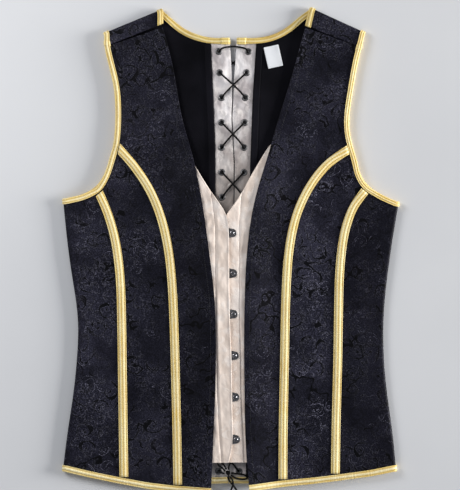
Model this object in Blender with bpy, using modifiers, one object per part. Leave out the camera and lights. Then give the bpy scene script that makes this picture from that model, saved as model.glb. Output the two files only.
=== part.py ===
"""Corset vest with a busk front and a laced back, laid flat on its back.

X is across the vest, +Y points to the shoulders and +Z up from the table. Sizes in the
tables are in millimetres, and the scene is in metres. Distances called "out" are
measured from the centre line of the vest, separately for the left and the right half
as they are seen from above.
"""

import math

import bmesh
import bpy
import numpy as np

MM = 0.001

# Cloth thicknesses and the gap that separate pieces keep.
WALL = 1.6
LEAF = 1.0
STRIP_WALL = 1.4
PLACKET_WALL = 1.4
GAP = 0.3
BINDING_GAP = 0.4
PLACKET_GAP = 0.9

# Heights of the middle of the cloth above the table.
FOLD_RADIUS = 2.75
BACK_BOUND = WALL / 2 + BINDING_GAP + LEAF
BACK_OPEN = 0.8
FRONT_BOUND = BACK_BOUND + 2 * FOLD_RADIUS
FRONT_OPEN = 6.9
STRIP_MID = 5.3
EDGE_LEVEL = {"left": 17.0, "right": 13.8}

# How far the cloth takes to ease from one height to the next.
BOUND_FLAT = 14.0
BOUND_EASE = 30.0
EDGE_RAMP = 42.0
STRIP_RAMP = 45.0
V_RISE_FULL = 78.0
V_RISE_NONE = 165.0

# Middle of the vest's outline in the tables, which becomes the origin.
FRAME_CENTRE = (0.6, 0.0)

# Trim.
ARM_BINDING = {"left": 6.1, "right": 5.2}
NECK_BINDING = 6.4
HEM_BINDING = 7.0
TAPE_WIDTH = 10.8
CASING_WIDTH = 7.6
TURN_UNDER = 13.0
LOW_ROWS = 13
FOLD_ROWS = 9
PLACKET_UNDER = 12.0

# Lacing.
EYELET_ROWS = 18
FIRST_ROW_Y = 247.0
SECOND_ROW_Y = 220.5
LAST_ROW_Y = -278.0
RIM_RADIUS = 4.4
HOLE_RADIUS = 2.4
CORD = 2.0
OUTER_LOW = 1.15
OUTER_HIGH = 3.3
INNER_LOW = 7.35
INNER_HIGH = 9.5
BAR_RISE = 5.0

# Busk.
LOOP_MID = 13.0
LOOP_THICK = 1.2
LOOP_REACH = 9.6
LOOP_RING = 5.2
LOOP_HOLE = 3.1
STUD_FOOT = 12.4
STUD_TOP = 15.8
STUD_YS = (20.0, -30.4, -81.2, -133.0, -184.8, -237.4)
STUD_XS = (2.3, 3.2, 3.8, 5.2, 5.9, 6.9)

SIDES = ("left", "right")
SIGN = {"left": -1.0, "right": 1.0}
COLUMN = {"left": 1, "right": 2}

# Front opening edge: y, out on the left, out on the right.
FRONT_EDGE = (
    (-304, 24.1, 23.7),
    (-240, 21.2, 18.8),
    (-180, 18.7, 17.8),
    (-120, 17.6, 17.0),
    (-60, 19.3, 17.9),
    (-15, 25.0, 19.6),
    (30, 30.5, 24.2),
    (60, 35.1, 29.8),
    (90, 40.8, 38.0),
    (110, 45.2, 45.0),
    (130, 50.8, 50.8),
    (150, 57.0, 56.2),
    (170, 62.0, 62.6),
    (195, 66.2, 70.3),
    (220, 70.0, 78.1),
    (250, 77.0, 86.1),
    (277, 84.6, 93.6),
)

# Seam under the inner tape, from the hem to its end at the armhole.
INNER_SEAM = (
    (-296, 65.6, 65.6),
    (-220, 67.0, 66.0),
    (-140, 69.0, 67.7),
    (-80, 70.9, 68.7),
    (-40, 72.8, 70.0),
    (0, 77.0, 73.0),
    (30, 83.1, 78.0),
    (60, 92.9, 88.0),
    (80, 103.0, 99.1),
    (95, 113.0, 110.0),
    (105, 120.5, 118.2),
    (117, 130.0, 131.0),
)

# Seam under the outer tape, from the hem to its end at the armhole.
OUTER_SEAM = (
    (-290, 132.9, 131.1),
    (-220, 134.0, 132.1),
    (-140, 135.1, 134.2),
    (-80, 136.0, 135.1),
    (-40, 137.1, 135.9),
    (-10, 140.0, 137.8),
    (15, 144.0, 140.8),
    (40, 151.0, 147.0),
    (60, 159.0, 157.0),
)

# Side fold.
SIDE_FOLD = (
    (-275, 209.8, 207.6),
    (-230, 204.0, 203.2),
    (-180, 196.4, 196.1),
    (-140, 192.3, 192.3),
    (-95, 190.0, 191.3),
    (-60, 194.0, 193.5),
    (-20, 200.5, 198.2),
    (20, 205.3, 203.9),
    (60, 209.1, 210.5),
)

# Soft folds of the front: side, out, y, direction in degrees, half length, half width, rise.
FOLDS = (
    ("left", 176.0, -70.0, 84.0, 90.0, 24.0, 1.3),
    ("right", 172.0, -92.0, 97.0, 90.0, 24.0, 1.3),
    ("left", 106.0, -120.0, 91.0, 120.0, 26.0, 0.9),
    ("right", 102.0, -140.0, 89.0, 120.0, 26.0, 0.9),
    ("left", 100.0, 150.0, 62.0, 60.0, 26.0, 1.2),
    ("right", 112.0, 168.0, 58.0, 60.0, 28.0, 1.4),
)

# Front hem: out, y on the left, y on the right.
FRONT_HEM = (
    (16, -306.2, -303.4),
    (70, -304.2, -297.1),
    (105, -299.9, -293.8),
    (137, -294.0, -289.8),
    (175, -286.2, -284.6),
    (212, -277.4, -277.0),
)

# Back hem, which is higher in the middle.
BACK_HEM = (
    (-5, -294.6, -294.6),
    (60, -293.0, -292.0),
    (137, -289.5, -287.0),
    (175, -285.0, -283.6),
    (212, -277.4, -277.0),
)

# Armhole from the shoulder seam to the underarm: out and y left, out and y right.
ARMHOLE = (
    (156.6, 252.6, 163.0, 252.0),
    (151.9, 232.5, 157.6, 229.4),
    (145.8, 208.8, 152.8, 201.2),
    (143.3, 191.0, 149.2, 179.2),
    (142.6, 170.0, 147.3, 162.0),
    (143.2, 148.0, 148.2, 142.5),
    (144.8, 131.5, 152.2, 127.0),
    (150.6, 111.0, 157.2, 109.5),
    (157.4, 90.5, 162.2, 89.5),
    (166.6, 75.8, 171.6, 77.0),
    (184.8, 67.2, 190.0, 66.2),
    (206.0, 62.2, 207.4, 58.4),
)
INNER_SEAM_AT = 6
OUTER_SEAM_AT = 9

# Shoulder: the fold's neck and arm ends, then the front seam's neck end, as out and y.
SHOULDER = {
    "left": ((86.2, 300.1), (158.0, 270.4), (84.9, 281.2)),
    "right": ((100.8, 302.0), (168.2, 271.2), (94.4, 278.4)),
}

# Back neck edge from the lacing strip to the shoulder fold.
BACK_NECK = {
    "left": ((24.2, 263.1), (34.9, 265.2), (53.1, 271.8), (67.9, 281.5), (78.0, 291.9)),
    "right": ((32.6, 263.1), (40.0, 264.2), (51.0, 266.2), (69.2, 274.8), (82.1, 285.6),
              (92.0, 295.2)),
}

# Lacing strips: y, x of the left strip's two edges, x of the right strip's two edges.
STRIPS = (
    (-293.4, -24.0, -2.6, -1.4, 19.6),
    (-200, -22.6, -0.8, 0.4, 20.6),
    (-100, -21.0, 1.0, 2.2, 22.0),
    (0, -19.6, 2.8, 4.0, 23.2),
    (66, -18.8, 4.0, 5.4, 24.4),
    (108, -18.8, 4.2, 5.6, 25.0),
    (135, -19.1, 2.8, 4.2, 26.2),
    (166, -20.4, 1.2, 2.6, 27.2),
    (186, -21.4, 2.2, 3.8, 27.9),
    (211, -22.4, 2.0, 4.6, 29.4),
    (236, -23.4, 0.9, 6.5, 31.2),
    (263.1, -24.4, -0.6, 7.9, 32.8),
)

STRIP_FOOT = STRIPS[0][0]
STRIP_TOP = STRIPS[-1][0]

# Eyelet columns: y, x on the left, x on the right.
EYELETS = (
    (-278, -14.8, 10.9),
    (65, -10.4, 16.9),
    (127, -11.0, 17.1),
    (190, -11.1, 18.7),
    (221, -13.4, 20.2),
    (247, -14.6, 22.4),
)

# Free edge of the left placket and its slanted top, then the right one's, as x and y.
PLACKET_EDGE = {
    "left": ((-1.9, -266.5), (1.6, -255.0), (3.2, -242.5), (2.2, -190.0), (1.5, -135.0),
             (-0.3, -100.0), (-1.5, -40.0), (-1.6, 10.0), (-2.5, 33.8)),
    "right": ((-9.0, -266.5), (-8.4, -200.0), (-9.4, -135.0), (-11.0, -80.0), (-12.6, -20.0),
              (-12.6, 18.0), (-11.6, 34.0)),
}
PLACKET_TOP = {
    "left": ((-2.5, 33.8), (-5.5, 45.0), (-18.6, 64.4), (-33.6, 86.2), (-43.6, 104.0)),
    "right": ((-11.6, 34.0), (-3.8, 45.0), (9.1, 61.2), (24.0, 89.0), (48.8, 130.0)),
}
PLACKET_BOTTOM = -266.5
PLACKET_TIP = {"left": 112.0, "right": 139.0}

# Bow at the foot of the lacing, as x, y and z above the table.
KNOT = (-2.9, -280.0, 9.3)
KNOT_RADIUS = 3.3
BOW_LOOPS = {
    "left": ((-6.4, -277.6, 9.6), (-10.5, -273.2, 9.0), (-14.6, -270.4, 8.6), (-15.4, -267.4, 8.6),
             (-12.4, -266.4, 8.8), (-8.2, -269.6, 9.4), (-4.9, -275.0, 10.4)),
    "right": ((1.0, -279.6, 9.4), (7.6, -280.8, 8.8), (14.6, -281.6, 8.6), (20.0, -283.4, 8.6),
              (20.4, -286.6, 9.0), (15.0, -287.6, 9.8), (7.4, -286.2, 9.8), (0.6, -282.4, 9.2)),
}
TAILS = {
    "left": ((-0.4, -283.6, 11.4), (2.6, -288.4, 13.0), (3.4, -293.4, 12.0), (1.6, -299.6, 8.4),
             (-0.6, -306.0, 3.4), (-1.8, -312.0, 1.2), (-2.6, -322.0, 1.1)),
    "right": ((-3.4, -284.0, 9.6), (-1.2, -289.4, 9.6), (3.4, -295.0, 9.0), (7.2, -301.0, 5.6),
              (9.8, -307.4, 1.9), (11.4, -314.0, 1.1), (13.0, -323.0, 1.1)),
}
STRANDS = {
    "left": ((-12.4, -278.8, 9.4), (-9.0, -280.2, 9.4), (-6.9, -280.3, 9.4)),
    "right": ((7.6, -274.6, 7.6), (4.0, -269.2, 8.2), (0.4, -266.6, 9.0), (-1.6, -270.4, 10.0),
              (-2.4, -275.6, 10.6)),
}

# Care label sewn into the right neck binding, hanging on the inside of the back.
LABEL_SIZE = (19.0, 27.0)
LABEL_CENTRE = (53.8, 240.8)
LABEL_TILT = 13.0

# Colours as red, green and blue, then roughness and metallic.
LOOKS = {
    "black_cloth": ((0.012, 0.012, 0.020), 0.55, 0.0),
    "black_lining": ((0.006, 0.006, 0.008), 0.6, 0.0),
    "gold_satin": ((0.62, 0.43, 0.14), 0.35, 0.0),
    "cream_satin": ((0.62, 0.56, 0.49), 0.4, 0.0),
    "steel": ((0.55, 0.55, 0.57), 0.3, 1.0),
    "cord": ((0.008, 0.008, 0.010), 0.7, 0.0),
    "label": ((0.8, 0.8, 0.8), 0.6, 0.0),
}


def material_named(name):
    material = bpy.data.materials.get(name)
    if material:
        return material
    colour, roughness, metallic = LOOKS[name]
    material = bpy.data.materials.new(name)
    material.use_nodes = True
    shader = material.node_tree.nodes["Principled BSDF"]
    shader.inputs["Base Color"].default_value = (*colour, 1.0)
    shader.inputs["Roughness"].default_value = roughness
    shader.inputs["Metallic"].default_value = metallic
    return material


def smooth(points, per_span=10):
    """Points along a smooth curve through the given ones, which keeps its ends."""
    points = np.asarray(points, float)
    before = 2 * points[0] - points[1]
    after = 2 * points[-1] - points[-2]
    padded = np.vstack([before, points, after])
    out = []
    for i in range(1, len(padded) - 2):
        a, b, c, d = padded[i - 1 : i + 3]
        for t in np.linspace(0, 1, per_span, endpoint=False):
            out.append(
                0.5 * ((2 * b) + (c - a) * t + (2 * a - 5 * b + 4 * c - d) * t**2
                       + (3 * b - a - 3 * c + d) * t**3)
            )
    out.append(points[-1])
    return np.array(out)


def along(path, count):
    """Evenly spaced points along a polyline, both ends included."""
    steps = np.linalg.norm(np.diff(path, axis=0), axis=1)
    run = np.concatenate([[0], np.cumsum(steps)])
    wanted = np.linspace(0, run[-1], count)
    return np.column_stack([np.interp(wanted, run, path[:, k]) for k in range(path.shape[1])])


def joined(*paths):
    """Paths end to end, each later one without its first point."""
    return np.vstack([paths[0]] + [path[1:] for path in paths[1:]])


def by_height(table, side):
    """A table of y and out, as points (out, y)."""
    return np.array([(row[COLUMN[side]], row[0]) for row in table], float)


def by_out(table, side):
    """A table of out and y, as points (out, y)."""
    return np.array([(row[0], row[COLUMN[side]]) for row in table], float)


def ease(t):
    t = np.clip(t, 0.0, 1.0)
    return t * t * (3 - 2 * t)


def armhole(side):
    first = 0 if side == "left" else 2
    return np.array([row[first : first + 2] for row in ARMHOLE], float)


def value_at(table, column, y):
    rows = np.array(table, float)
    return np.interp(y, rows[:, 0], rows[:, column])


def hem_y(table, side, out):
    rows = np.array(table, float)
    return np.interp(out, rows[:, 0], rows[:, COLUMN[side]])


def outline(side):
    """The bound or folded edges of one half, from the front hem round to the neck."""
    hem = by_out(FRONT_HEM, side)
    sides = by_height(SIDE_FOLD, side)
    arm = armhole(side)[::-1]
    neck_fold, arm_fold, _ = SHOULDER[side]
    return np.vstack([hem, sides, arm, [arm_fold, neck_fold]])


OUTLINES = {side: outline(side) for side in SIDES}


def bound_share(side, out, y):
    """1 beside a bound edge or a fold, easing to 0 in the open cloth."""
    points = np.stack([out, y], axis=-1)
    best = np.full(points.shape[:-1], 1e9)
    path = OUTLINES[side]
    for a, b in zip(path[:-1], path[1:]):
        span = b - a
        length = max(float(span @ span), 1e-9)
        t = np.clip(((points - a) @ span) / length, 0, 1)
        away = np.linalg.norm(points - (a + t[..., None] * span), axis=-1)
        best = np.minimum(best, away)
    return 1 - ease((best - BOUND_FLAT) / BOUND_EASE)


def fold_rise(side, out, y):
    """Height that the soft folds add to the front."""
    total = np.zeros(np.shape(out))
    for where, at_out, at_y, direction, length, width, rise in FOLDS:
        if where != side:
            continue
        turn = math.radians(direction)
        run = (out - at_out) * math.cos(turn) + (y - at_y) * math.sin(turn)
        off = (y - at_y) * math.cos(turn) - (out - at_out) * math.sin(turn)
        total = total + rise * np.exp(-((run / length) ** 2) - (off / width) ** 2)
    return total


def front_mid(side, out, y):
    """Height of the middle of the front cloth."""
    bound = bound_share(side, out, y)
    base = FRONT_OPEN + (FRONT_BOUND - FRONT_OPEN) * bound
    base = base + fold_rise(side, out, y) * (1 - bound)
    edge = value_at(FRONT_EDGE, COLUMN[side], y)
    ramp = 1 - ease((out - edge) / EDGE_RAMP)
    rise = ramp * (1 - ease((y - V_RISE_FULL) / (V_RISE_NONE - V_RISE_FULL)))
    return base + (EDGE_LEVEL[side] - base) * rise


def strip_edge(side, y):
    """Outer edge of the lacing strip, as a distance out."""
    return abs(value_at(STRIPS, 1 if side == "left" else 4, y))


def back_mid(side, out, y):
    """Height of the middle of the back cloth."""
    base = BACK_OPEN + (BACK_BOUND - BACK_OPEN) * bound_share(side, out, y)
    rise = 1 - ease((out - strip_edge(side, y)) / STRIP_RAMP)
    return base + (STRIP_MID - base) * rise


def between(inner, outer, shares, top=None, bottom=None):
    """A sheet of rows from inner to outer points, bent to a top and a bottom edge."""
    shares = np.asarray(shares, float)
    sheet = inner[:, None, :] * (1 - shares[None, :, None]) + outer[:, None, :] * shares[None, :, None]
    up = np.linspace(0, 1, len(inner))[:, None, None] ** 3
    down = np.linspace(1, 0, len(inner))[:, None, None] ** 3
    if top is not None:
        sheet = sheet + up * (top - sheet[-1])[None]
    if bottom is not None:
        sheet = sheet + down * (bottom - sheet[0])[None]
    return sheet


def narrowed(sheet, left=True, right=True):
    """The sheet with half a seam gap taken off its first and last columns."""
    sheet = sheet.copy()
    for wanted, edge, inside in ((left, 0, 1), (right, -1, -2)):
        if wanted:
            toward = sheet[:, inside] - sheet[:, edge]
            length = np.linalg.norm(toward, axis=-1, keepdims=True)
            sheet[:, edge] += toward / length * GAP / 2
    return sheet


def lifted(side, sheet, height):
    """Flat (out, y) points as (x, y, z) points at the height that the function gives."""
    out, y = sheet[..., 0], sheet[..., 1]
    return np.stack([SIGN[side] * out, y, height(side, out, y)], axis=-1)


def mesh_object(name, points, faces, look):
    """A new mesh object from points in millimetres."""
    mesh = bpy.data.meshes.new(name)
    mesh.from_pydata([tuple(p * MM) for p in points], [], faces)
    obj = bpy.data.objects.new(name, mesh)
    bpy.context.scene.collection.objects.link(obj)
    mesh.materials.append(material_named(look))
    return obj


def outward(obj):
    """Turns the faces of a closed mesh outwards."""
    work = bmesh.new()
    work.from_mesh(obj.data)
    bmesh.ops.recalc_face_normals(work, faces=work.faces)
    work.to_mesh(obj.data)
    work.free()


def sheet_normals(points):
    """Unit normals at each point of a grid."""
    rows = np.gradient(points, axis=0)
    columns = np.gradient(points, axis=1)
    normals = np.cross(columns, rows)
    return normals / np.linalg.norm(normals, axis=-1, keepdims=True)


def cloth(name, points, wall, look, normals=None):
    """A closed sheet of cloth around a grid of points that runs through its middle."""
    if normals is None:
        normals = sheet_normals(points)
    rows, columns = points.shape[:2]
    upper = points + normals * wall / 2
    lower = points - normals * wall / 2
    corners = np.concatenate([upper.reshape(-1, 3), lower.reshape(-1, 3)])
    size = rows * columns

    def at(r, c, layer):
        return layer * size + r * columns + c

    faces = []
    for r in range(rows - 1):
        for c in range(columns - 1):
            quad = ((r, c), (r, c + 1), (r + 1, c + 1), (r + 1, c))
            faces.append(tuple(at(i, j, 0) for i, j in quad))
            faces.append(tuple(at(i, j, 1) for i, j in reversed(quad)))
    rim = [(0, c) for c in range(columns)]
    rim += [(r, columns - 1) for r in range(1, rows)]
    rim += [(rows - 1, c) for c in range(columns - 2, -1, -1)]
    rim += [(r, 0) for r in range(rows - 2, 0, -1)]
    for (r1, c1), (r2, c2) in zip(rim, rim[1:] + rim[:1]):
        faces.append((at(r1, c1, 0), at(r1, c1, 1), at(r2, c2, 1), at(r2, c2, 0)))
    obj = mesh_object(name, corners, faces, look)
    outward(obj)
    return obj


def binding(name, path, normals, width, ruled=None, closed=False):
    """A folded strip around the edge of a cloth: two leaves and the fold between.

    Where the cloth itself folds, ruled gives the direction of the fold for each point.
    """
    path = np.asarray(path, float)
    normals = np.asarray(normals, float)
    if closed:
        tangents = np.roll(path, -1, axis=0) - np.roll(path, 1, axis=0)
    else:
        tangents = np.gradient(path, axis=0)
    inward = np.cross(tangents, normals)
    inward /= np.linalg.norm(inward, axis=1, keepdims=True)
    for index, direction in (ruled or {}).items():
        inward[index] = direction / np.linalg.norm(direction)
    near = WALL / 2 + BINDING_GAP
    far = near + LEAF
    nose = GAP + LEAF
    section = (
        (width, far),
        (0.0, far),
        (-nose, near - 0.2),
        (-nose, 0.2 - near),
        (0.0, -far),
        (width, -far),
        (width, -near),
        (-GAP, -near),
        (-GAP, near),
        (width, near),
    )
    rings = np.array([path + inward * a + normals * h for a, h in section]).transpose(1, 0, 2)
    rings[..., 2] = np.maximum(rings[..., 2], 0.0)
    count, sides = rings.shape[:2]
    faces = []
    for i in range(count if closed else count - 1):
        j = (i + 1) % count
        for k in range(sides):
            m = (k + 1) % sides
            faces.append((i * sides + k, i * sides + m, j * sides + m, j * sides + k))
    if not closed:
        last = (count - 1) * sides
        for quad in ((0, 1, 8, 9), (1, 2, 8), (2, 3, 7, 8), (3, 4, 7), (4, 5, 6, 7)):
            faces.append(quad)
            faces.append(tuple(last + k for k in reversed(quad)))
    obj = mesh_object(name, rings.reshape(-1, 3), faces, "gold_satin")
    outward(obj)
    return obj


def tube(name, points, radius, look="cord", resolution=2):
    """A round cord along the given points."""
    curve = bpy.data.curves.new(name, "CURVE")
    curve.dimensions = "3D"
    curve.bevel_depth = radius * MM
    curve.bevel_resolution = resolution
    curve.use_fill_caps = True
    curve.resolution_u = 1
    spline = curve.splines.new("POLY")
    spline.points.add(len(points) - 1)
    for point, place in zip(spline.points, points):
        point.co = (*(np.asarray(place, float) * MM), 1.0)
    obj = bpy.data.objects.new(name, curve)
    bpy.context.scene.collection.objects.link(obj)
    curve.materials.append(material_named(look))
    return obj


def front_sheets(side):
    """The flat cuts of the front: centre, middle and side, as (out, y) grids."""
    arm = armhole(side)
    arm_up = smooth(arm[: INNER_SEAM_AT + 1][::-1])
    arm_middle = smooth(arm[INNER_SEAM_AT : OUTER_SEAM_AT + 1])
    arm_side = smooth(arm[OUTER_SEAM_AT:])
    edge = smooth(by_height(FRONT_EDGE, side))
    inner = smooth(np.vstack([by_height(INNER_SEAM, side), arm[INNER_SEAM_AT]]))
    outer = smooth(np.vstack([by_height(OUTER_SEAM, side), arm[OUTER_SEAM_AT]]))
    fold = smooth(by_height(SIDE_FOLD, side))

    low_rows, high_rows = LOW_ROWS, 8
    turn = np.argmin(abs(edge[:, 1] - 112))
    edge_rows = joined(along(edge[: turn + 1], low_rows), along(edge[turn:], high_rows))
    outer_rows = joined(along(inner, low_rows), along(arm_up, high_rows))
    centre = between(edge_rows, outer_rows, (0, 0.09, 0.19, 0.31, 0.46, 0.64, 0.82, 1))

    rows = LOW_ROWS
    middle = between(along(inner, rows), along(outer, rows), np.linspace(0, 1, 6),
                     top=along(arm_middle, 6))

    fold_in = fold - [FOLD_RADIUS + WALL / 2, 0]
    side_top = along(arm_side, 6)
    sides = between(along(outer, rows), along(fold_in, rows), np.linspace(0, 1, 6), top=side_top)
    for sheet in (centre, middle, sides):
        hem = hem_y(FRONT_HEM, side, sheet[0, :, 0])
        sheet[0, :, 1] = hem + GAP + LEAF
    return centre, middle, sides


def around_side(side, sheet):
    """The side panel with its fold and its turn to the underside seam."""
    front = lifted(side, sheet, front_mid)
    centre = sheet[:, -1]
    middle_z = (FRONT_BOUND + BACK_BOUND) / 2
    columns = [front[:, j] for j in range(front.shape[1])]
    for angle in np.linspace(0, math.pi, 7)[1:-1]:
        out = centre[:, 0] + FOLD_RADIUS * math.sin(angle)
        z = np.full(len(centre), middle_z + FOLD_RADIUS * math.cos(angle))
        columns.append(np.column_stack([SIGN[side] * out, centre[:, 1], z]))
    arm = smooth(armhole(side))
    for step in (0.0, 0.5, 1.0):
        out = centre[:, 0] - TURN_UNDER * step
        lower = np.stack([out, centre[:, 1]], axis=-1)
        lower[-1, 1] = np.interp(out[-1], arm[:, 0], arm[:, 1])
        lower[0, 1] = hem_y(BACK_HEM, side, out[0]) + GAP + LEAF
        columns.append(lifted(side, lower, back_mid))
    return np.stack(columns, axis=1)


def back_sheet(side):
    """The flat cut of the back up to the shoulder fold, as an (out, y) grid."""
    arm = smooth(armhole(side)[::-1])
    fold = smooth(by_height(SIDE_FOLD, side)) - [FOLD_RADIUS + WALL / 2 + TURN_UNDER, 0]
    neck_fold, arm_fold, _ = SHOULDER[side]
    neck_fold, arm_fold = np.array(neck_fold), np.array(arm_fold)
    run = (arm_fold - neck_fold) / np.linalg.norm(arm_fold - neck_fold)
    up = np.array([-run[1], run[0]])
    drop = up * (FOLD_RADIUS + WALL / 2)
    corner = np.array([strip_edge(side, STRIP_TOP), STRIP_TOP - GAP])
    ys = np.linspace(STRIP_FOOT, STRIP_TOP - GAP, 40)
    seam = np.column_stack([strip_edge(side, ys), ys])
    neck = smooth(np.vstack([BACK_NECK[side], [neck_fold - drop]]))
    neck[0] = corner

    low_rows, high_rows, neck_rows = LOW_ROWS, 7, 6
    level = np.argmin(abs(seam[:, 1] - 62))
    inner = joined(along(seam[: level + 1], low_rows), along(seam[level:], high_rows),
                   along(neck, neck_rows))
    underarm = fold[-1]
    start = arm[arm[:, 0] < underarm[0]]
    start = np.vstack([[underarm[0], np.interp(underarm[0], arm[::-1, 0], arm[::-1, 1])], start])
    tip = np.vstack([start, [arm_fold - drop]])
    side_rows = fold.copy()
    side_rows[-1] = start[0]
    outer = joined(along(side_rows, low_rows), along(tip, high_rows + neck_rows - 1))
    shares = (0, 0.05, 0.12, 0.22, 0.34, 0.48, 0.62, 0.76, 0.89, 1)
    sheet = between(inner, outer, shares)
    sheet[0, :, 1] = hem_y(BACK_HEM, side, sheet[0, :, 0]) + GAP + LEAF
    return sheet, up


def over_shoulder(side, sheet, up):
    """The back with its turn over the shoulder to the seam on the front."""
    flat = lifted(side, sheet, back_mid)
    last = sheet[-1]
    middle_z = (FRONT_BOUND + BACK_BOUND) / 2
    rows = [flat[r] for r in range(flat.shape[0])]
    for angle in np.linspace(0, math.pi, 7)[1:-1]:
        place = last + up * FOLD_RADIUS * math.sin(angle)
        z = np.full(len(last), middle_z - FOLD_RADIUS * math.cos(angle))
        rows.append(np.column_stack([SIGN[side] * place[:, 0], place[:, 1], z]))
    _, _, seam_neck = SHOULDER[side]
    seam_arm = armhole(side)[0]
    seam = along(np.array([seam_neck, seam_arm], float), len(last))
    seam = seam + up * GAP
    for share in (0.0, 0.5, 1.0):
        place = last + (seam - last) * share
        z = np.full(len(last), FRONT_BOUND)
        rows.append(np.column_stack([SIGN[side] * place[:, 0], place[:, 1], z]))
    return np.stack(rows, axis=0)


def facing_out(side, points):
    """Normals that point to the cloth's right side: up on the front, down on the back."""
    normals = sheet_normals(points)
    return normals if side == "right" else -normals


def tape(name, side, seam, armhole_line):
    """A flat tape over a seam of the front, cut at its top along the armhole binding."""
    last = seam[-1] - seam[-2]
    last /= np.linalg.norm(last)
    armhole_line = armhole_line / np.linalg.norm(armhole_line)
    meeting = abs(last[0] * armhole_line[1] - last[1] * armhole_line[0])
    path = trimmed(seam, HEM_BINDING + GAP + 1.4, (ARM_BINDING[side] + 2 * GAP) / meeting)
    tangents = np.gradient(path, axis=0)
    tangents /= np.linalg.norm(tangents, axis=1, keepdims=True)
    across = np.column_stack([tangents[:, 1], -tangents[:, 0]])
    offsets = np.array((-0.5, -0.17, 0.17, 0.5)) * TAPE_WIDTH
    grid = path[:, None, :] + across[:, None, :] * offsets[None, :, None]
    a, t = across[-1], tangents[-1]
    slant = -(a[0] * armhole_line[1] - a[1] * armhole_line[0])
    slant /= t[0] * armhole_line[1] - t[1] * armhole_line[0]
    grid[-1] += t[None, :] * offsets[:, None] * slant
    points = lifted(side, grid, front_mid)
    points[..., 2] += WALL / 2 + GAP + LEAF / 2
    return cloth(name, points, LEAF, "gold_satin")


def trimmed(path, start, end):
    """A path without the given lengths at its two ends."""
    steps = np.linalg.norm(np.diff(path, axis=0), axis=1)
    run = np.concatenate([[0], np.cumsum(steps)])
    keep = (run > start) & (run < run[-1] - end)
    ends = [
        [np.interp(d, run, path[:, k]) for k in range(path.shape[1])]
        for d in (start, run[-1] - end)
    ]
    return np.vstack([ends[0], path[keep], ends[1]])


def row_heights():
    pitch = (SECOND_ROW_Y - LAST_ROW_Y) / (EYELET_ROWS - 2)
    return [FIRST_ROW_Y] + [SECOND_ROW_Y - pitch * i for i in range(EYELET_ROWS - 1)]


def eyelet_places(side):
    return [(value_at(EYELETS, COLUMN[side], y), y) for y in row_heights()]


def cylinder(name, x, y, bottom, top, radius, sides):
    work = bmesh.new()
    bmesh.ops.create_cone(work, cap_ends=True, segments=sides, radius1=radius * MM,
                          radius2=radius * MM, depth=(top - bottom) * MM)
    bmesh.ops.translate(work, verts=work.verts, vec=(x * MM, y * MM, (bottom + top) / 2 * MM))
    mesh = bpy.data.meshes.new(name)
    work.to_mesh(mesh)
    work.free()
    obj = bpy.data.objects.new(name, mesh)
    return obj


def apply_boolean(obj, helpers, operation):
    """Joins or cuts the object with all the helper cylinders at once."""
    collection = bpy.data.collections.new("helpers")
    for helper in helpers:
        collection.objects.link(helper)
    modifier = obj.modifiers.new("helpers", "BOOLEAN")
    modifier.operation = operation
    modifier.operand_type = "COLLECTION"
    modifier.collection = collection
    modifier.solver = "EXACT"
    bpy.context.scene.collection.children.link(collection)
    bpy.context.view_layer.update()
    evaluated = obj.evaluated_get(bpy.context.evaluated_depsgraph_get())
    mesh = bpy.data.meshes.new_from_object(evaluated)
    obj.modifiers.clear()
    obj.data = mesh
    for helper in helpers:
        bpy.data.objects.remove(helper)
    bpy.data.collections.remove(collection)


def lacing_strip(side):
    """The cream strip with its raised eyelet rims and their holes."""
    first = 1 if side == "left" else 3
    rows = np.array(STRIPS, float)
    ys = rows[:, 0].copy()
    ys[0] += GAP + LEAF
    ys[-1] -= GAP
    lows, highs = rows[:, first], rows[:, first + 1]
    if side == "left":
        lows = lows + GAP
    else:
        highs = highs - GAP
    grid = np.stack([
        np.column_stack([lows, ys, np.full(len(ys), STRIP_MID)]),
        np.column_stack([highs, ys, np.full(len(ys), STRIP_MID)]),
    ], axis=1)
    strip = cloth("lacing_strip_" + side, grid, STRIP_WALL, "cream_satin")
    top = STRIP_MID + STRIP_WALL / 2 + 0.3
    places = eyelet_places(side)
    rims = [cylinder("rim", x, y, STRIP_MID, top, RIM_RADIUS, 8) for x, y in places]
    apply_boolean(strip, rims, "UNION")
    holes = [cylinder("hole", x, y, 0, top + 1, HOLE_RADIUS, 8) for x, y in places]
    apply_boolean(strip, holes, "DIFFERENCE")
    outward(strip)
    return strip


def lace_half(start_side, outer_z, inner_z, lead=None):
    """One half of the lace: down through a row, across outside, up, across inside."""
    other = {"left": "right", "right": "left"}
    places = {side: eyelet_places(side) for side in SIDES}
    points = [] if lead is None else list(lead)
    side = start_side
    for row in range(EYELET_ROWS):
        x, y = places[side][row]
        going_down = row % 2 == 0
        first, second = (inner_z, outer_z) if going_down else (outer_z, inner_z)
        lean = 1.0 if side == "left" else -1.0
        points.append((x + lean * 0.6, y + (0.8 if row else 0.0), first))
        points.append((x + lean * 0.6, y - (0.8 if row < EYELET_ROWS - 1 else 0.0), second))
        side = other[side]
    return points


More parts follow.
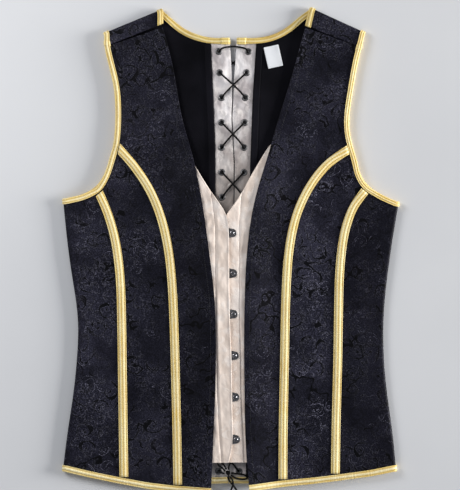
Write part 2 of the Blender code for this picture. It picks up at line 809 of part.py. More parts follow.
def busk_loop(index, x, y):
    """A flat steel loop: straight root under the placket and a round end with its hole."""
    edge = x - (LOOP_REACH - LOOP_RING)
    curve = bpy.data.curves.new("busk_loop_%d" % index, "CURVE")
    curve.dimensions = "2D"
    curve.fill_mode = "BOTH"
    curve.extrude = LOOP_THICK / 2 * MM
    curve.resolution_u = 1
    arc = np.linspace(math.radians(66), math.radians(-66), 9)
    outline_points = [(edge - 4.0 - x, 6.4)]
    outline_points += [(LOOP_RING * math.cos(a), LOOP_RING * math.sin(a)) for a in arc]
    outline_points += [(edge - 4.0 - x, -6.4)]
    ring = np.linspace(0, 2 * math.pi, 12, endpoint=False)
    hole_points = [(LOOP_HOLE * math.cos(a), LOOP_HOLE * math.sin(a)) for a in ring]
    for shape in (outline_points, hole_points):
        spline = curve.splines.new("POLY")
        spline.use_cyclic_u = True
        spline.points.add(len(shape) - 1)
        for point, (px, py) in zip(spline.points, shape):
            point.co = (px * MM, py * MM, 0.0, 1.0)
    obj = bpy.data.objects.new(curve.name, curve)
    obj.location = (x * MM, y * MM, LOOP_MID * MM)
    bpy.context.scene.collection.objects.link(obj)
    curve.materials.append(material_named("steel"))
    return obj


def busk_stud(index, x, y):
    """A turned stud: post and domed head."""
    head = STUD_TOP - STUD_FOOT
    profile = ((0, 0), (1.8, 0), (1.8, 1.6), (2.9, 1.7), (3.0, 2.3), (2.2, head - 0.3), (0, head))
    mesh = bpy.data.meshes.new("busk_stud_%d" % index)
    points = [(r * MM, 0.0, z * MM) for r, z in profile]
    mesh.from_pydata(points, [(i, i + 1) for i in range(len(points) - 1)], [])
    obj = bpy.data.objects.new(mesh.name, mesh)
    obj.location = (x * MM, y * MM, STUD_FOOT * MM)
    bpy.context.scene.collection.objects.link(obj)
    mesh.materials.append(material_named("steel"))
    turned = obj.modifiers.new("Screw", "SCREW")
    turned.axis = "Z"
    turned.steps = 10
    turned.render_steps = 10
    turned.use_merge_vertices = True
    turned.merge_threshold = 0.0001
    turned.use_normal_calculate = True
    return obj


def lace():
    """The two halves of the lace, which meet at the bar across the first row."""
    left_x, right_x = eyelet_places("left")[0][0], eyelet_places("right")[0][0]
    middle_x = (left_x + right_x) / 2
    places = ((right_x - 2.2, 0.0), (middle_x + 8.0, BAR_RISE * 0.8), (middle_x, BAR_RISE),
              (middle_x - 8.0, BAR_RISE * 0.8), (left_x + 3.0, 0.0))
    bar = [(x, FIRST_ROW_Y + rise, INNER_LOW) for x, rise in places]
    first = lace_half("left", OUTER_LOW, INNER_LOW, bar)
    second = lace_half("right", OUTER_HIGH, INNER_HIGH)
    second[0] = (right_x, FIRST_ROW_Y, INNER_LOW)
    tube("lace_a", first + list(STRANDS["right"]), CORD / 2)
    tube("lace_b", second + list(STRANDS["left"]), CORD / 2)
    for side in SIDES:
        tube("lace_loop_" + side, smooth(BOW_LOOPS[side], 2), CORD / 2)
        tube("lace_tail_" + side, smooth(TAILS[side], 2), CORD / 2)
    work = bmesh.new()
    bmesh.ops.create_uvsphere(work, u_segments=10, v_segments=6, radius=KNOT_RADIUS * MM)
    bmesh.ops.translate(work, verts=work.verts, vec=[c * MM for c in KNOT])
    mesh = bpy.data.meshes.new("lace_knot")
    work.to_mesh(mesh)
    work.free()
    knot = bpy.data.objects.new("lace_knot", mesh)
    bpy.context.scene.collection.objects.link(knot)
    mesh.materials.append(material_named("cord"))


def care_label():
    """The label lies on the back a little way off its cloth, and is left bare."""
    tilt = math.radians(LABEL_TILT)
    across = np.array([math.cos(tilt), math.sin(tilt)])
    along_it = np.array([-math.sin(tilt), math.cos(tilt)])
    widths = np.linspace(-0.5, 0.5, 4) * LABEL_SIZE[0]
    lengths = np.linspace(-0.5, 0.5, 5) * LABEL_SIZE[1]
    grid = np.array([[LABEL_CENTRE + across * w + along_it * h for w in widths] for h in lengths])
    points = lifted("right", grid, back_mid)
    points[..., 2] += WALL / 2 + 2 * GAP + LEAF / 2
    cloth("care_label", points, LEAF, "label")


def placket(side):
    """The cream placket, from under the front edge to its free edge."""
    sign = SIGN[side]
    low = smooth([(sign * x, y) for x, y in PLACKET_EDGE[side]])
    high = smooth([(sign * x, y) for x, y in PLACKET_TOP[side]])
    free = joined(along(low, 13), along(high, 7))
    joint = PLACKET_EDGE[side][-1][1]
    ys = np.concatenate([np.linspace(PLACKET_BOTTOM, joint, 13),
                         np.linspace(joint, PLACKET_TIP[side], 7)[1:]])
    hidden = np.column_stack([value_at(FRONT_EDGE, COLUMN[side], ys) + PLACKET_UNDER, ys])
    shares = (0, 0.3, 0.55, 0.78, 1)
    points = lifted(side, between(free, hidden, shares), front_mid)
    points[..., 2] -= WALL / 2 + PLACKET_GAP + PLACKET_WALL / 2
    return cloth("placket_" + side, points, PLACKET_WALL, "cream_satin")


def build_half(side):
    centre, middle, sides = front_sheets(side)
    front = lifted(side, narrowed(centre, left=False), front_mid)
    mid = lifted(side, narrowed(middle), front_mid)
    wrap = around_side(side, narrowed(sides, right=False))
    wrap[:, -1, 0] += SIGN[side] * GAP
    sheet, up = back_sheet(side)
    back = over_shoulder(side, sheet, up)
    cloth("front_centre_" + side, front, WALL, "black_cloth")
    cloth("front_middle_" + side, mid, WALL, "black_cloth")
    cloth("side_" + side, wrap, WALL, "black_cloth")
    cloth("back_" + side, back, WALL, "black_lining")

    # Armhole binding: down the front, round the underarm, up the back, over the shoulder.
    out_front, out_mid, out_wrap = (facing_out(side, grid) for grid in (front, mid, wrap))
    out_back = -facing_out(side, back)
    arm_rows = range(front.shape[0] - 1, LOW_ROWS - 2, -1)
    path = [front[r, -1] for r in arm_rows]
    normals = [out_front[r, -1] for r in arm_rows]
    path += [mid[-1, c] for c in range(1, mid.shape[1])]
    normals += [out_mid[-1, c] for c in range(1, mid.shape[1])]
    path += [wrap[-1, c] for c in range(1, wrap.shape[1])]
    normals += [out_wrap[-1, c] for c in range(1, wrap.shape[1])]
    path += [back[r, -1] for r in range(LOW_ROWS, back.shape[0] - 1)]
    normals += [out_back[r, -1] for r in range(LOW_ROWS, back.shape[0] - 1)]
    ruled = {len(path) - 1 - k: back[-2 - k, -2] - back[-2 - k, -1] for k in range(FOLD_ROWS - 1)}
    if side == "left":
        path, normals = path[::-1], normals[::-1]
        ruled = {len(path) - 1 - k: direction for k, direction in ruled.items()}
    binding("armhole_binding_" + side, path, normals, ARM_BINDING[side], ruled,
            closed=True)

    # Hem binding of the front, round the side fold and along the back.
    path = [front[0, c] for c in range(front.shape[1] - 1)]
    normals = [out_front[0, c] for c in range(front.shape[1] - 1)]
    path += [mid[0, c] for c in range(mid.shape[1] - 1)]
    normals += [out_mid[0, c] for c in range(mid.shape[1] - 1)]
    path += [wrap[0, c] for c in range(wrap.shape[1])]
    normals += [out_wrap[0, c] for c in range(wrap.shape[1])]
    path += [back[0, c] for c in range(back.shape[1] - 2, -1, -1)]
    normals += [out_back[0, c] for c in range(back.shape[1] - 2, -1, -1)]
    strip_low = 2 if side == "left" else 3
    end_x = value_at(STRIPS, strip_low, STRIP_FOOT)
    path.append(np.array([end_x, STRIP_FOOT + GAP + LEAF, STRIP_MID]))
    normals.append(np.array([0.0, 0.0, -1.0]))
    if side == "right":
        path, normals = path[::-1], normals[::-1]
    binding("hem_binding_" + side, path, normals, HEM_BINDING)

    # Neck binding: from the lacing edge along the back neck and over the shoulder.
    top_x = value_at(STRIPS, strip_low, STRIP_TOP)
    path = [np.array([top_x, STRIP_TOP - GAP, STRIP_MID])]
    normals = [np.array([0.0, 0.0, -1.0])]
    neck_rows = range(LOW_ROWS + 5, back.shape[0])
    path += [back[r, 0] for r in neck_rows]
    normals += [out_back[r, 0] for r in neck_rows]
    ruled = {len(path) - 1 - k: back[-1 - k, 1] - back[-1 - k, 0] for k in range(FOLD_ROWS)}
    if side == "right":
        path, normals = path[::-1], normals[::-1]
        ruled = {len(path) - 1 - k: direction for k, direction in ruled.items()}
    binding("neck_binding_" + side, path, normals, NECK_BINDING, ruled)

    # Tapes over the two seams, from the hem binding to the armhole binding.
    arm = armhole(side)
    at_inner = arm[INNER_SEAM_AT + 1] - arm[INNER_SEAM_AT - 1]
    at_outer = arm[OUTER_SEAM_AT + 1] - arm[OUTER_SEAM_AT - 1]
    tape("inner_tape_" + side, side, middle[:, 0], at_inner)
    tape("outer_tape_" + side, side, sides[:, 0], at_outer)

    # Bone casing on the inside of the back, along the lacing strip.
    ys = np.linspace(STRIP_FOOT + HEM_BINDING + 1.6, STRIP_TOP - NECK_BINDING - 1.2, 20)
    seam = strip_edge(side, ys)
    grid = np.stack([
        np.column_stack([seam + 0.6, ys]),
        np.column_stack([seam + 0.6 + CASING_WIDTH / 2, ys]),
        np.column_stack([seam + 0.6 + CASING_WIDTH, ys]),
    ], axis=1)
    points = lifted(side, grid, back_mid)
    points[..., 2] += WALL / 2 + GAP + LEAF / 2
    cloth("bone_casing_" + side, points, LEAF, "black_lining")

    lacing_strip(side)
    placket(side)


def main():
    for obj in list(bpy.data.objects):
        bpy.data.objects.remove(obj)
    for side in SIDES:
        build_half(side)
    for index, (x, y) in enumerate(zip(STUD_XS, STUD_YS), start=1):
        busk_loop(index, x, y)
        busk_stud(index, x, y)
    lace()
    care_label()
    for obj in bpy.context.scene.collection.objects:
        obj.location.x -= FRAME_CENTRE[0] * MM
        obj.location.y -= FRAME_CENTRE[1] * MM


main()
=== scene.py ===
# %% [markdown]
# # A corset vest with a busk front and a laced back
#
# The real vest is sewn from flat pieces of black jacquard, edged and taped with gold satin,
# and it lies on its back on a pale table, so that the inside of the back shows through the
# open neck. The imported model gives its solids. Here each solid becomes soft cloth, and the
# stitches, eyelets, busk and lace are added on it.

import math

import bmesh
import bpy
import numpy as np
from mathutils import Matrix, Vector
from mathutils.bvhtree import BVHTree
from mathutils.kdtree import KDTree


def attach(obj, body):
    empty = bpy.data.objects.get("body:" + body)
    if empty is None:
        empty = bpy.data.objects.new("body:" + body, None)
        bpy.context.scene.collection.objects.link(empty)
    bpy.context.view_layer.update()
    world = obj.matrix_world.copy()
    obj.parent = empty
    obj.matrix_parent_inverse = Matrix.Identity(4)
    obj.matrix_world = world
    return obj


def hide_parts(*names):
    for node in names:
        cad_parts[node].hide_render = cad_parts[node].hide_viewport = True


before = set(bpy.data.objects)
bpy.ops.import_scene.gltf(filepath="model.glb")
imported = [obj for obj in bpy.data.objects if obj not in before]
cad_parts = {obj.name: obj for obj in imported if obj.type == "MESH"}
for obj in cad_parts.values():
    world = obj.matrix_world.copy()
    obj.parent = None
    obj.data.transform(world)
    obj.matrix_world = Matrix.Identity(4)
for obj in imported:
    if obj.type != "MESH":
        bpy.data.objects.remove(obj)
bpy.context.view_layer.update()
SIDES = ("left", "right")
SIGN = {"left": -1.0, "right": 1.0}
MM = 0.001

# %% [markdown]
# ## Camera, light and table
#
# The photograph looks straight down on the vest. A long lens from high above keeps the
# sides from leaning. A camera without perspective could do it too, but the real picture
# has a lens. The wide soft shadow on the left tells that a large window stands low on the
# right. A softbox at the upper left brightens the table there, and the pale room
# fills the rest, so that no shadow gets dark.

# %% Camera straight above
CAMERA_HEIGHT = 2.2
VIEW_HEIGHT = 0.6125
VIEW_CENTRE = (-0.001, 0.005)
VEST_LEVEL = 0.008
SENSOR = 36.0

camera_data = bpy.data.cameras.new("camera_above")
camera_data.sensor_fit = "VERTICAL"
camera_data.sensor_height = SENSOR
camera_data.lens = SENSOR * CAMERA_HEIGHT / VIEW_HEIGHT
camera = bpy.data.objects.new("camera_above", camera_data)
camera.location = (*VIEW_CENTRE, CAMERA_HEIGHT + VEST_LEVEL)
bpy.context.scene.collection.objects.link(camera)
bpy.context.scene.camera = camera
print("lens", round(camera_data.lens, 1), "mm")


# %% Soft lights
ROOM_COLOUR, ROOM_STRENGTH = (0.83, 0.86, 0.92, 1.0), 0.30


def soft_light(name, place, size, power, colour):
    """A square soft light at a place, turned towards the middle of the vest."""
    data = bpy.data.lights.new(name, "AREA")
    data.shape = "SQUARE"
    data.size = size
    data.energy = power
    data.color = colour
    lamp = bpy.data.objects.new(name, data)
    lamp.location = place
    lamp.rotation_euler = (-Vector(place)).to_track_quat("-Z", "Y").to_euler()
    bpy.context.scene.collection.objects.link(lamp)


soft_light("window_light", (3.9, 0.2, 0.9), size=1.7, power=285.0, colour=(1.0, 0.985, 0.955))
soft_light("softbox_upper_left", (-1.0, 0.7, 0.9), size=0.6, power=11.5, colour=(1.0, 0.995, 0.985))
world = bpy.data.worlds.new("pale_room")
world.use_nodes = True
world.node_tree.nodes["Background"].inputs["Color"].default_value = ROOM_COLOUR
world.node_tree.nodes["Background"].inputs["Strength"].default_value = ROOM_STRENGTH
bpy.context.scene.world = world
bpy.context.scene.view_settings.view_transform = "Standard"
print("lights", len(bpy.data.lights))

# %% [markdown]
# ## Finishes
#
# Every finish is a node material. Each one reads the piece's own place in metres, so a
# pattern keeps its size on every piece. The helpers below add a node and join it up in one
# line.


# %% Small helpers for node materials
def node(tree, kind, links=None, **values):
    """Adds a node, joins the given inputs and sets the given properties."""
    made = tree.nodes.new(kind)
    for name, value in values.items():
        setattr(made, name, value)
    for socket, value in (links or {}).items():
        target = made.inputs[socket]
        if isinstance(value, bpy.types.NodeSocket):
            tree.links.new(value, target)
        else:
            target.default_value = value
    return made


def maths(tree, operation, a, b=0.0):
    """The result of one operation on one or two values."""
    return node(tree, "ShaderNodeMath", {0: a, 1: b}, operation=operation).outputs[0]


def ranged(tree, value, low, high, to_low=0.0, to_high=1.0):
    """A value eased from one range to another."""
    made = node(tree, "ShaderNodeMapRange",
                {"Value": value, "From Min": low, "From Max": high, "To Min": to_low, "To Max": to_high},
                interpolation_type="SMOOTHSTEP")
    return made.outputs["Result"]


def mixed(tree, share, a, b):
    """A colour between two colours."""
    made = node(tree, "ShaderNodeMix", data_type="RGBA")
    made.inputs["Factor"].default_value = 0.5
    for socket, value in (("Factor", share), ("A", a), ("B", b)):
        target = [s for s in made.inputs if s.name == socket and s.enabled][0]
        if isinstance(value, bpy.types.NodeSocket):
            tree.links.new(value, target)
        else:
            target.default_value = value
    return [s for s in made.outputs if s.enabled][0]


def finish_named(name, roughness, sheen=0.0, sheen_roughness=0.5, metallic=0.0, specular=0.5):
    """A new material, its tree, its shader and the place in metres that it reads."""
    made = bpy.data.materials.new(name)
    made.use_nodes = True
    tree = made.node_tree
    shader = tree.nodes["Principled BSDF"]
    shader.inputs["Roughness"].default_value = roughness
    shader.inputs["Metallic"].default_value = metallic
    shader.inputs["Specular IOR Level"].default_value = specular
    shader.inputs["Sheen Weight"].default_value = sheen
    shader.inputs["Sheen Roughness"].default_value = sheen_roughness
    place = node(tree, "ShaderNodeTexCoord").outputs["Object"]
    return made, tree, shader, place


def bumped(tree, shader, height, distance, strength=1.0):
    """Gives the shader a bump of the given height in metres."""
    bump = node(tree, "ShaderNodeBump", {"Height": height, "Distance": distance, "Strength": strength})
    tree.links.new(bump.outputs["Normal"], shader.inputs["Normal"])


def noise(tree, place, scale, detail=2.0, roughness=0.5):
    made = node(tree, "ShaderNodeTexNoise", {"Vector": place, "Scale": scale, "Detail": detail,
                                             "Roughness": roughness})
    return made.outputs["Fac"]


def stretched(tree, place, scale, turn=0.0):
    """The place scaled and turned, for a pattern that runs one way."""
    made = node(tree, "ShaderNodeMapping", {"Vector": place, "Scale": scale, "Rotation": (0.0, 0.0, turn)})
    return made.outputs["Vector"]


def shifted(tree, place, shift):
    """The place moved, so that two layers don't lie on each other."""
    return node(tree, "ShaderNodeVectorMath", {0: place, 1: (*shift, 0.0)}, operation="ADD").outputs[0]


# %% [markdown]
# ### Jacquard with leafy scrolls
#
# Jacquard shows its pattern by the way the threads lie, so the motifs are only a little
# lighter or darker than the ground, and glossier or duller. The sheen of the threads is
# painted into the colour: painted sheen lightens the ground in fine flecks and wide
# patches, and pale painted glint marks trace some scrolls. The scrolls could be curves
# laid on the cloth, but drawn in the finish they need no faces and fit every panel. Each
# cell of a Voronoi texture holds one motif: the angle and distance from the cell's middle
# draw a scroll of one turn round a small bud. The cell's own random colour turns the
# scroll and picks its hand. Between the scrolls, a noise draws tendrils.


# %% Motifs in Voronoi cells
LOBE_RADIANS = 15.0
BEND_SCALE, BEND_PUSH = 42.0, 0.012


def motif_cells(tree, place, size):
    """Distance and angle from the middle of each point's cell, and two random numbers."""
    cells = node(tree, "ShaderNodeTexVoronoi", {"Vector": place, "Scale": 1.0 / size, "Randomness": 0.8},
                 voronoi_dimensions="2D")
    middle = cells.outputs["Position"]
    away = node(tree, "ShaderNodeVectorMath", {0: place, 1: middle}, operation="SUBTRACT")
    parts = node(tree, "ShaderNodeSeparateXYZ", {0: away.outputs[0]})
    x, y = parts.outputs[0], parts.outputs[1]
    angle = maths(tree, "ARCTAN2", y, x)
    distance = maths(tree, "SQRT", maths(tree, "ADD", maths(tree, "MULTIPLY", x, x),
                                         maths(tree, "MULTIPLY", y, y)))
    chances = node(tree, "ShaderNodeSeparateColor", {0: cells.outputs["Color"]})
    return distance, angle, chances.outputs[0], chances.outputs[1]


def scroll(tree, distance, angle, turn, hand, reach, swell, soft):
    """A leafy scroll of one turn, thick in its middle and pointed at both ends, round a small bud."""
    way = maths(tree, "SUBTRACT", maths(tree, "MULTIPLY", maths(tree, "GREATER_THAN", hand, 0.5), 2.0), 1.0)
    turns = maths(tree, "ADD", maths(tree, "DIVIDE", maths(tree, "MULTIPLY", angle, way), math.tau),
                  maths(tree, "MULTIPLY", turn, 7.0))
    along = maths(tree, "FRACT", maths(tree, "ADD", turns, 8.0))
    line = maths(tree, "MULTIPLY", maths(tree, "SUBTRACT", 0.92, maths(tree, "MULTIPLY", along, 0.58)), reach)
    lobes = maths(tree, "SINE", maths(tree, "MULTIPLY", along, LOBE_RADIANS))
    leaves = maths(tree, "ADD", maths(tree, "MULTIPLY", lobes, 0.35), 1.0)
    belly = maths(tree, "MULTIPLY", along, maths(tree, "SUBTRACT", 1.0, along))
    thick = maths(tree, "MULTIPLY", maths(tree, "MULTIPLY", belly, leaves), 4.0 * swell * reach)
    off = maths(tree, "ABSOLUTE", maths(tree, "SUBTRACT", distance, line))
    stroke = ranged(tree, maths(tree, "SUBTRACT", thick, off), -0.1 * soft, soft)
    bud = ranged(tree, maths(tree, "SUBTRACT", 0.15 * reach, distance), -0.1 * soft, soft)
    return maths(tree, "MAXIMUM", stroke, bud)


def scroll_pattern(tree, place, size, swell, soft=0.0006):
    """One layer of scrolls, from 0 to 1."""
    bend = node(tree, "ShaderNodeTexNoise", {"Vector": place, "Scale": BEND_SCALE, "Detail": 1.0})
    moved = node(tree, "ShaderNodeVectorMath", {0: bend.outputs["Color"], 1: (0.5, 0.5, 0.5)},
                 operation="SUBTRACT")
    push = node(tree, "ShaderNodeVectorMath", {0: moved.outputs[0], "Scale": BEND_PUSH}, operation="SCALE")
    warped = node(tree, "ShaderNodeVectorMath", {0: place, 1: push.outputs[0]}, operation="ADD").outputs[0]
    distance, angle, chance, hand = motif_cells(tree, warped, size)
    return scroll(tree, distance, angle, chance, hand, size * 0.5, swell, soft)


# %% Tendrils between the motifs
def tendrils(tree, place, shift, scale, thick, low, high):
    """Strokes that swell and taper, along the lines where a noise passes through its middle."""
    moved = shifted(tree, place, shift)
    away = maths(tree, "ABSOLUTE", maths(tree, "SUBTRACT", noise(tree, moved, scale, 1.0), 0.5))
    swell = ranged(tree, noise(tree, moved, scale * 0.85, 0.0), low, high, 0.0, thick)
    return maths(tree, "SUBTRACT", 1.0, ranged(tree, maths(tree, "SUBTRACT", away, swell), -0.012, 0.012))


# %% Black jacquard
BLACK_GROUND = (0.0038, 0.0038, 0.0078, 1.0)
BLACK_PAINTED_SHEEN = (0.0380, 0.0375, 0.0610, 1.0)
BLACK_PAINTED_GLINT = (0.340, 0.335, 0.450, 1.0)
BLACK_DEEP = (0.0006, 0.0006, 0.0012, 1.0)


def jacquard(name, shift, painted_sheen):
    """The black jacquard, cut from the roll at the given shift, with painted sheen and painted glint marks as
    strong as the last argument says.
    """
    made, tree, shader, place = finish_named(name, 0.5, sheen=0.008, sheen_roughness=0.4, specular=0.09)
    roll = shifted(tree, place, shift)
    large = scroll_pattern(tree, shifted(tree, roll, (0.37, 0.21)), 0.026, 0.16)
    small = scroll_pattern(tree, shifted(tree, roll, (0.13, 0.58)), 0.017, 0.19)
    pale = scroll_pattern(tree, roll, 0.021, 0.22, 0.0010)
    strokes = tendrils(tree, roll, (0.31, 0.77), 52.0, 0.030, 0.50, 0.64)
    speckle = noise(tree, roll, 620.0, 2.0, 0.8)
    flecks = ranged(tree, speckle, 0.45, 0.62)
    # Wide patches of painted sheen on the black ground.
    broad_sheen = ranged(tree, noise(tree, roll, 8.0, 2.0, 0.6), 0.36, 0.66)
    patches = ranged(tree, noise(tree, roll, 19.0, 3.0, 0.6), 0.38, 0.60)
    # Patches where the pale scrolls show as painted glint marks.
    glint_patches = ranged(tree, noise(tree, roll, 22.0, 3.0, 0.6), 0.52, 0.64)
    rims = maths(tree, "MULTIPLY", maths(tree, "MULTIPLY", pale, maths(tree, "SUBTRACT", 1.0, pale)), 4.0)
    light = maths(tree, "MULTIPLY", rims, glint_patches)
    uneven = maths(tree, "ADD", maths(tree, "MULTIPLY", patches, 0.6), 0.4)
    scrolls = maths(tree, "MAXIMUM", large, maths(tree, "MULTIPLY", small, 0.8))
    figure = maths(tree, "MULTIPLY", scrolls, uneven)
    dark = maths(tree, "MULTIPLY", maths(tree, "MAXIMUM", figure, strokes),
                 maths(tree, "SUBTRACT", 1.0, maths(tree, "MULTIPLY", light, 0.8)))
    outline = maths(tree, "MULTIPLY", maths(tree, "MULTIPLY", dark, maths(tree, "SUBTRACT", 1.0, dark)), 1.8)
    # Painted sheen: fine flecks and wide patches lighten the black ground, more on some panels than on
    # others.
    sheen_share = maths(tree, "ADD", maths(tree, "MULTIPLY", flecks, 0.7), maths(tree, "MULTIPLY", broad_sheen, 0.3))
    sheen_share = maths(tree, "MULTIPLY", sheen_share, maths(tree, "MULTIPLY", uneven, painted_sheen))
    ground = mixed(tree, sheen_share, BLACK_GROUND, BLACK_PAINTED_SHEEN)
    shown = mixed(tree, maths(tree, "MULTIPLY", dark, 0.92), ground, BLACK_DEEP)
    # Painted highlights: pale scroll rims and the outlines of the dark scrolls take a pale painted glint
    # colour, flecked.
    lit = maths(tree, "MAXIMUM", light, maths(tree, "MULTIPLY", outline, patches))
    sparkle = maths(tree, "ADD", maths(tree, "MULTIPLY", flecks, 0.52), 0.03)
    painted_glints = maths(tree, "MULTIPLY", maths(tree, "MULTIPLY", lit, sparkle), painted_sheen)
    shown = mixed(tree, painted_glints, shown, BLACK_PAINTED_GLINT)
    tree.links.new(shown, shader.inputs["Base Color"])
    gloss = maths(tree, "SUBTRACT", 0.55, maths(tree, "MULTIPLY", light, 0.12))
    tree.links.new(gloss, shader.inputs["Roughness"])
    height = maths(tree, "ADD", maths(tree, "MULTIPLY", speckle, 0.5),
                   maths(tree, "MULTIPLY", maths(tree, "MAXIMUM", light, dark), 0.4))
    bumped(tree, shader, height, 0.0003, 0.7)
    return made


# Each panel's shift on the roll, and how strongly its painted sheen and painted glint marks show.
PANEL_CUTS_AND_SHEEN = {
    "front_centre_left": ((0.11, 0.43), 0.75),
    "front_middle_left": ((0.59, 0.07), 0.8),
    "side_left": ((0.29, 0.83), 1.05),
    "front_centre_right": ((0.97, 0.31), 0.8),
    "front_middle_right": ((0.41, 0.67), 1.3),
    "side_right": ((0.73, 0.19), 0.5),
    "back_left": ((0.17, 0.53), 0.8),
    "back_right": ((0.61, 0.91), 0.8),
}
jacquards = {panel: jacquard("black_jacquard_" + panel, *cut) for panel, cut in PANEL_CUTS_AND_SHEEN.items()}
print("jacquard cuts", len(jacquards))


# %% Plain black lining
RIB_SCALE, RIB_DEPTH, COLOUR_WANDER = 900.0, 0.0002, 9.0


def plain_satin(name, colour, second, roughness, sheen, specular=0.45):
    """A closely woven cloth with a fine rib and a slow change of colour."""
    made, tree, shader, place = finish_named(name, roughness, sheen=sheen, specular=specular)
    slow = ranged(tree, noise(tree, place, COLOUR_WANDER, 3.0), 0.3, 0.7)
    tree.links.new(mixed(tree, slow, colour, second), shader.inputs["Base Color"])
    threads = node(tree, "ShaderNodeTexWave", {"Vector": place, "Scale": RIB_SCALE, "Distortion": 0.6},
                   wave_type="BANDS", bands_direction="DIAGONAL")
    uneven = maths(tree, "ADD", threads.outputs["Fac"], noise(tree, place, 260.0, 3.0))
    bumped(tree, shader, uneven, RIB_DEPTH, 0.5)
    return made


lining = plain_satin("black_lining", (0.0018, 0.0018, 0.0032, 1.0), (0.0105, 0.0100, 0.0150, 1.0), 0.6, 0.0,
                     specular=0.06)


# %% Gold satin: metres from a band's edge to its folds, which carry painted shade, and to its painted highlight line
GOLD_SHADED_FOLDS = ((0.0015, 0.6), (0.0052, 0.45))
GOLD_HIGHLIGHT_LINE = 0.0033
GOLD_SHEEN_STREAK = (0.95, 0.86, 0.56, 1.0)
GOLD_SHADE = (0.56, 0.34, 0.060, 1.0)
GOLD_PAINTED_HIGHLIGHT = (1.0, 0.94, 0.68, 1.0)


def noted_value(tree, name):
    """A number that the piece's mesh holds for each corner."""
    return node(tree, "ShaderNodeAttribute", attribute_type="GEOMETRY", attribute_name=name).outputs["Fac"]


def gold_satin(name, shade, light, painted_sheen):
    """Satin ribbon: threads run along it, fine puckers run across it, and it has painted sheen along the
    threads, painted shade in two folds and a painted highlight along one line.
    """
    made, tree, shader, place = finish_named(name, 0.36, sheen=0.05, sheen_roughness=0.3, specular=0.42)
    along, across = noted_value(tree, "along"), noted_value(tree, "across")
    band = node(tree, "ShaderNodeCombineXYZ", {0: along, 1: across}).outputs[0]
    # Painted sheen in thin lines along the threads.
    sheen_streaks = ranged(tree, noise(tree, stretched(tree, band, (60.0, 900.0, 1.0)), 1.0, 3.0), 0.3, 0.7)
    slow = ranged(tree, noise(tree, place, 24.0, 3.0), 0.3, 0.7)
    shown = mixed(tree, slow, shade, light)
    shown = mixed(tree, maths(tree, "MULTIPLY", sheen_streaks, 0.5 * painted_sheen), shown, GOLD_SHEEN_STREAK)
    # Painted shade along two fold lines, one of them at the stitching.
    for middle, share in GOLD_SHADED_FOLDS:
        off = maths(tree, "ABSOLUTE", maths(tree, "SUBTRACT", across, middle))
        fold = maths(tree, "SUBTRACT", 1.0, ranged(tree, off, 0.0002, 0.0010))
        shown = mixed(tree, maths(tree, "MULTIPLY", fold, share), shown, GOLD_SHADE)
    # A painted highlight along one line of the band.
    off = maths(tree, "ABSOLUTE", maths(tree, "SUBTRACT", across, GOLD_HIGHLIGHT_LINE))
    ridge = maths(tree, "SUBTRACT", 1.0, ranged(tree, off, 0.0003, 0.0012))
    shown = mixed(tree, maths(tree, "MULTIPLY", ridge, 0.55 * painted_sheen), shown, GOLD_PAINTED_HIGHLIGHT)
    tree.links.new(shown, shader.inputs["Base Color"])
    puckers = noise(tree, stretched(tree, band, (520.0, 150.0, 1.0)), 1.0, 2.0)
    threads = noise(tree, stretched(tree, band, (250.0, 2600.0, 1.0)), 1.0, 2.0)
    height = maths(tree, "ADD", maths(tree, "MULTIPLY", threads, 0.3), puckers)
    bumped(tree, shader, height, 0.0007, 0.8)
    return made


gold = gold_satin("gold_satin", (0.85, 0.60, 0.155, 1.0), (0.98, 0.79, 0.310, 1.0), 1.0)
# The neck binding's satin carries a painted shade: darker colours and half the painted sheen.
shaded_neck_gold = gold_satin("gold_satin_neck", (0.50, 0.34, 0.070, 1.0), (0.84, 0.66, 0.210, 1.0), 0.5)


# %% Cream satin
CREAM_SHADED = (0.33, 0.28, 0.245, 1.0)
CREAM_LIT = (0.96, 0.90, 0.86, 1.0)
FOOT_LIGHT = (-0.29, -0.25)


